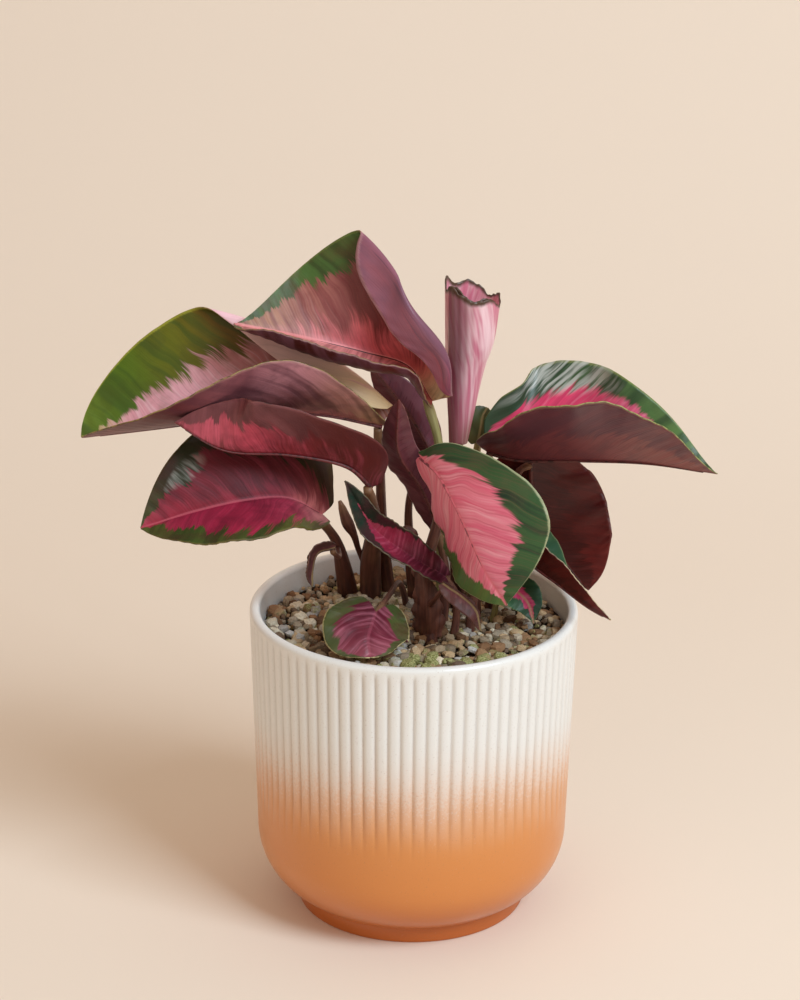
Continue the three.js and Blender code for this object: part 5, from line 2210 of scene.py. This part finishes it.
    def make(self) -> None:
        """Builds and dresses all blades and stalks."""
        finishes = {
            "stalk_brown": stem_finish("stalk_brown", (72, 38, 32), (112, 66, 52), (134, 98, 66)),
            "stalk_olive": stem_finish("stalk_olive", (116, 108, 64), (158, 152, 98), (172, 160, 112)),
        }
        paints = LeafPaint(leaf_pattern())
        for index, blade in enumerate(self.leaves.values()):
            blade.make(paints, 3.7 * index)
        Scroll().make()
        for stalk in self.stalks():
            if stalk.name == "stalk_front":
                stalk = replace(stalk, extras=tuple(self.sheaths(finishes["stalk_brown"])))
            stalk.make(finishes)


# ---- Studio ----


@dataclass(frozen=True)
class Lamp:
    """A soft square light, with its place and side in metres, its power in watts and linear colour."""

    name: str
    place: Point
    size: float
    power: float
    colour: Linear

    def make(self, aim: Point) -> None:
        """Makes the light.

        Args:
            aim: The point that it looks at, in metres.
        """
        data = bpy.data.lights.new(self.name, "AREA")
        data.size = self.size
        data.energy = self.power
        data.color = self.colour
        light = bpy.data.objects.new(self.name, data)
        bpy.context.scene.collection.objects.link(light)
        light.location = self.place
        way = Vector(aim) - Vector(self.place)
        light.rotation_euler = way.to_track_quat("-Z", "Y").to_euler()


@dataclass
class Studio:
    """Pale seamless floor, soft light and the camera at the photograph's angle.

    The places of the camera and of what it and the lamps look at are in metres.
    """

    camera_place: Point = (-0.0063, -1.1830, 0.6255)
    camera_aim: Point = (-0.0063, 0.0, 0.1832)
    camera_turn: float = 0.5
    lens: float = 108.0
    sensor: float = 36.0
    floor_front: float = -1500.0
    floor_depth: float = 1900.0
    floor_half_width: float = 3200.0
    floor_cells: tuple[int, int] = (60, 8)
    bend_radius: float = 600.0
    wall_height: float = 2200.0
    gap: float = 0.02
    paper: tuple[Rgb, Rgb] = ((237, 222, 206), (240, 225, 209))
    lamp_aim: Point = (0.0, 0.0, 0.15)
    lamps: tuple[Lamp, ...] = (
        Lamp("key", (1.25, -1.19, 1.71), 1.0, 41.0, (0.84, 1.0, 1.14)),
        Lamp("fill", (-1.0, -1.6, 1.1), 1.6, 3.5, (1.0, 0.97, 0.94)),
    )
    room_colour: Linear = (1.0, 0.8, 0.62)
    room_strength: float = 0.48

    def camera(self) -> None:
        """Makes the camera."""
        data = bpy.data.cameras.new("camera")
        data.lens = self.lens
        data.sensor_width = self.sensor
        camera = bpy.data.objects.new("camera", data)
        bpy.context.scene.collection.objects.link(camera)
        way = Vector(self.camera_aim) - Vector(self.camera_place)
        look = way.to_track_quat("-Z", "Y").to_matrix().to_4x4()
        turn = Matrix.Rotation(math.radians(self.camera_turn), 4, "Z")
        camera.matrix_world = Matrix.Translation(self.camera_place) @ look @ turn
        bpy.context.scene.camera = camera

    def backdrop(self) -> None:
        """Makes the floor, which curves up into the backdrop and can't be seen from behind."""
        rows, columns = self.floor_cells
        bend = self.bend_radius * math.pi / 2
        run = np.linspace(0, 1, rows)[:, None] * (self.floor_depth + bend + self.wall_height)
        turn = np.clip((run - self.floor_depth) / self.bend_radius, 0, math.pi / 2)
        y = self.floor_front + np.minimum(run, self.floor_depth) + self.bend_radius * np.sin(turn)
        z = self.bend_radius * (1 - np.cos(turn)) + np.maximum(run - self.floor_depth - bend, 0)
        x = np.linspace(-self.floor_half_width, self.floor_half_width, columns)
        piece = grid_piece("studio_floor", stacked(x, y, z - self.gap), {})
        nodes = Surface.new("studio_paper", 0.8, 0.2)
        colour = nodes.mix(nodes.noise(nodes.object_place(), 2.0), *self.paper)
        nodes.give("Base Color", colour)
        behind = nodes.add("NewGeometry").outputs["Backfacing"]
        nodes.give("Alpha", nodes.minus(1.0, behind))
        dress(piece, nodes.material)

    def make(self) -> None:
        """Makes camera, backdrop, lights and world."""
        self.camera()
        self.backdrop()
        for lamp in self.lamps:
            lamp.make(self.lamp_aim)
        world = bpy.data.worlds.new("soft_room")
        world.use_nodes = True
        background = world.node_tree.nodes["Background"]
        background.inputs["Color"].default_value = (*self.room_colour, 1.0)
        background.inputs["Strength"].default_value = self.room_strength
        bpy.context.scene.world = world
        bpy.context.scene.view_settings.view_transform = "Standard"


def main() -> None:
    """Builds everything in order."""
    logging.basicConfig(level=logging.INFO, format="%(name)s %(message)s")
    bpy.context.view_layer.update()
    Studio().make()
    Pot().make()
    plant = Plant()
    stalks = plant.stalks()
    Gravel(keep_off=tuple((*stalk.foot, stalk.radius[0] + 1.2) for stalk in stalks)).make()
    plant.make()


if __name__ == "__main__":
    main()
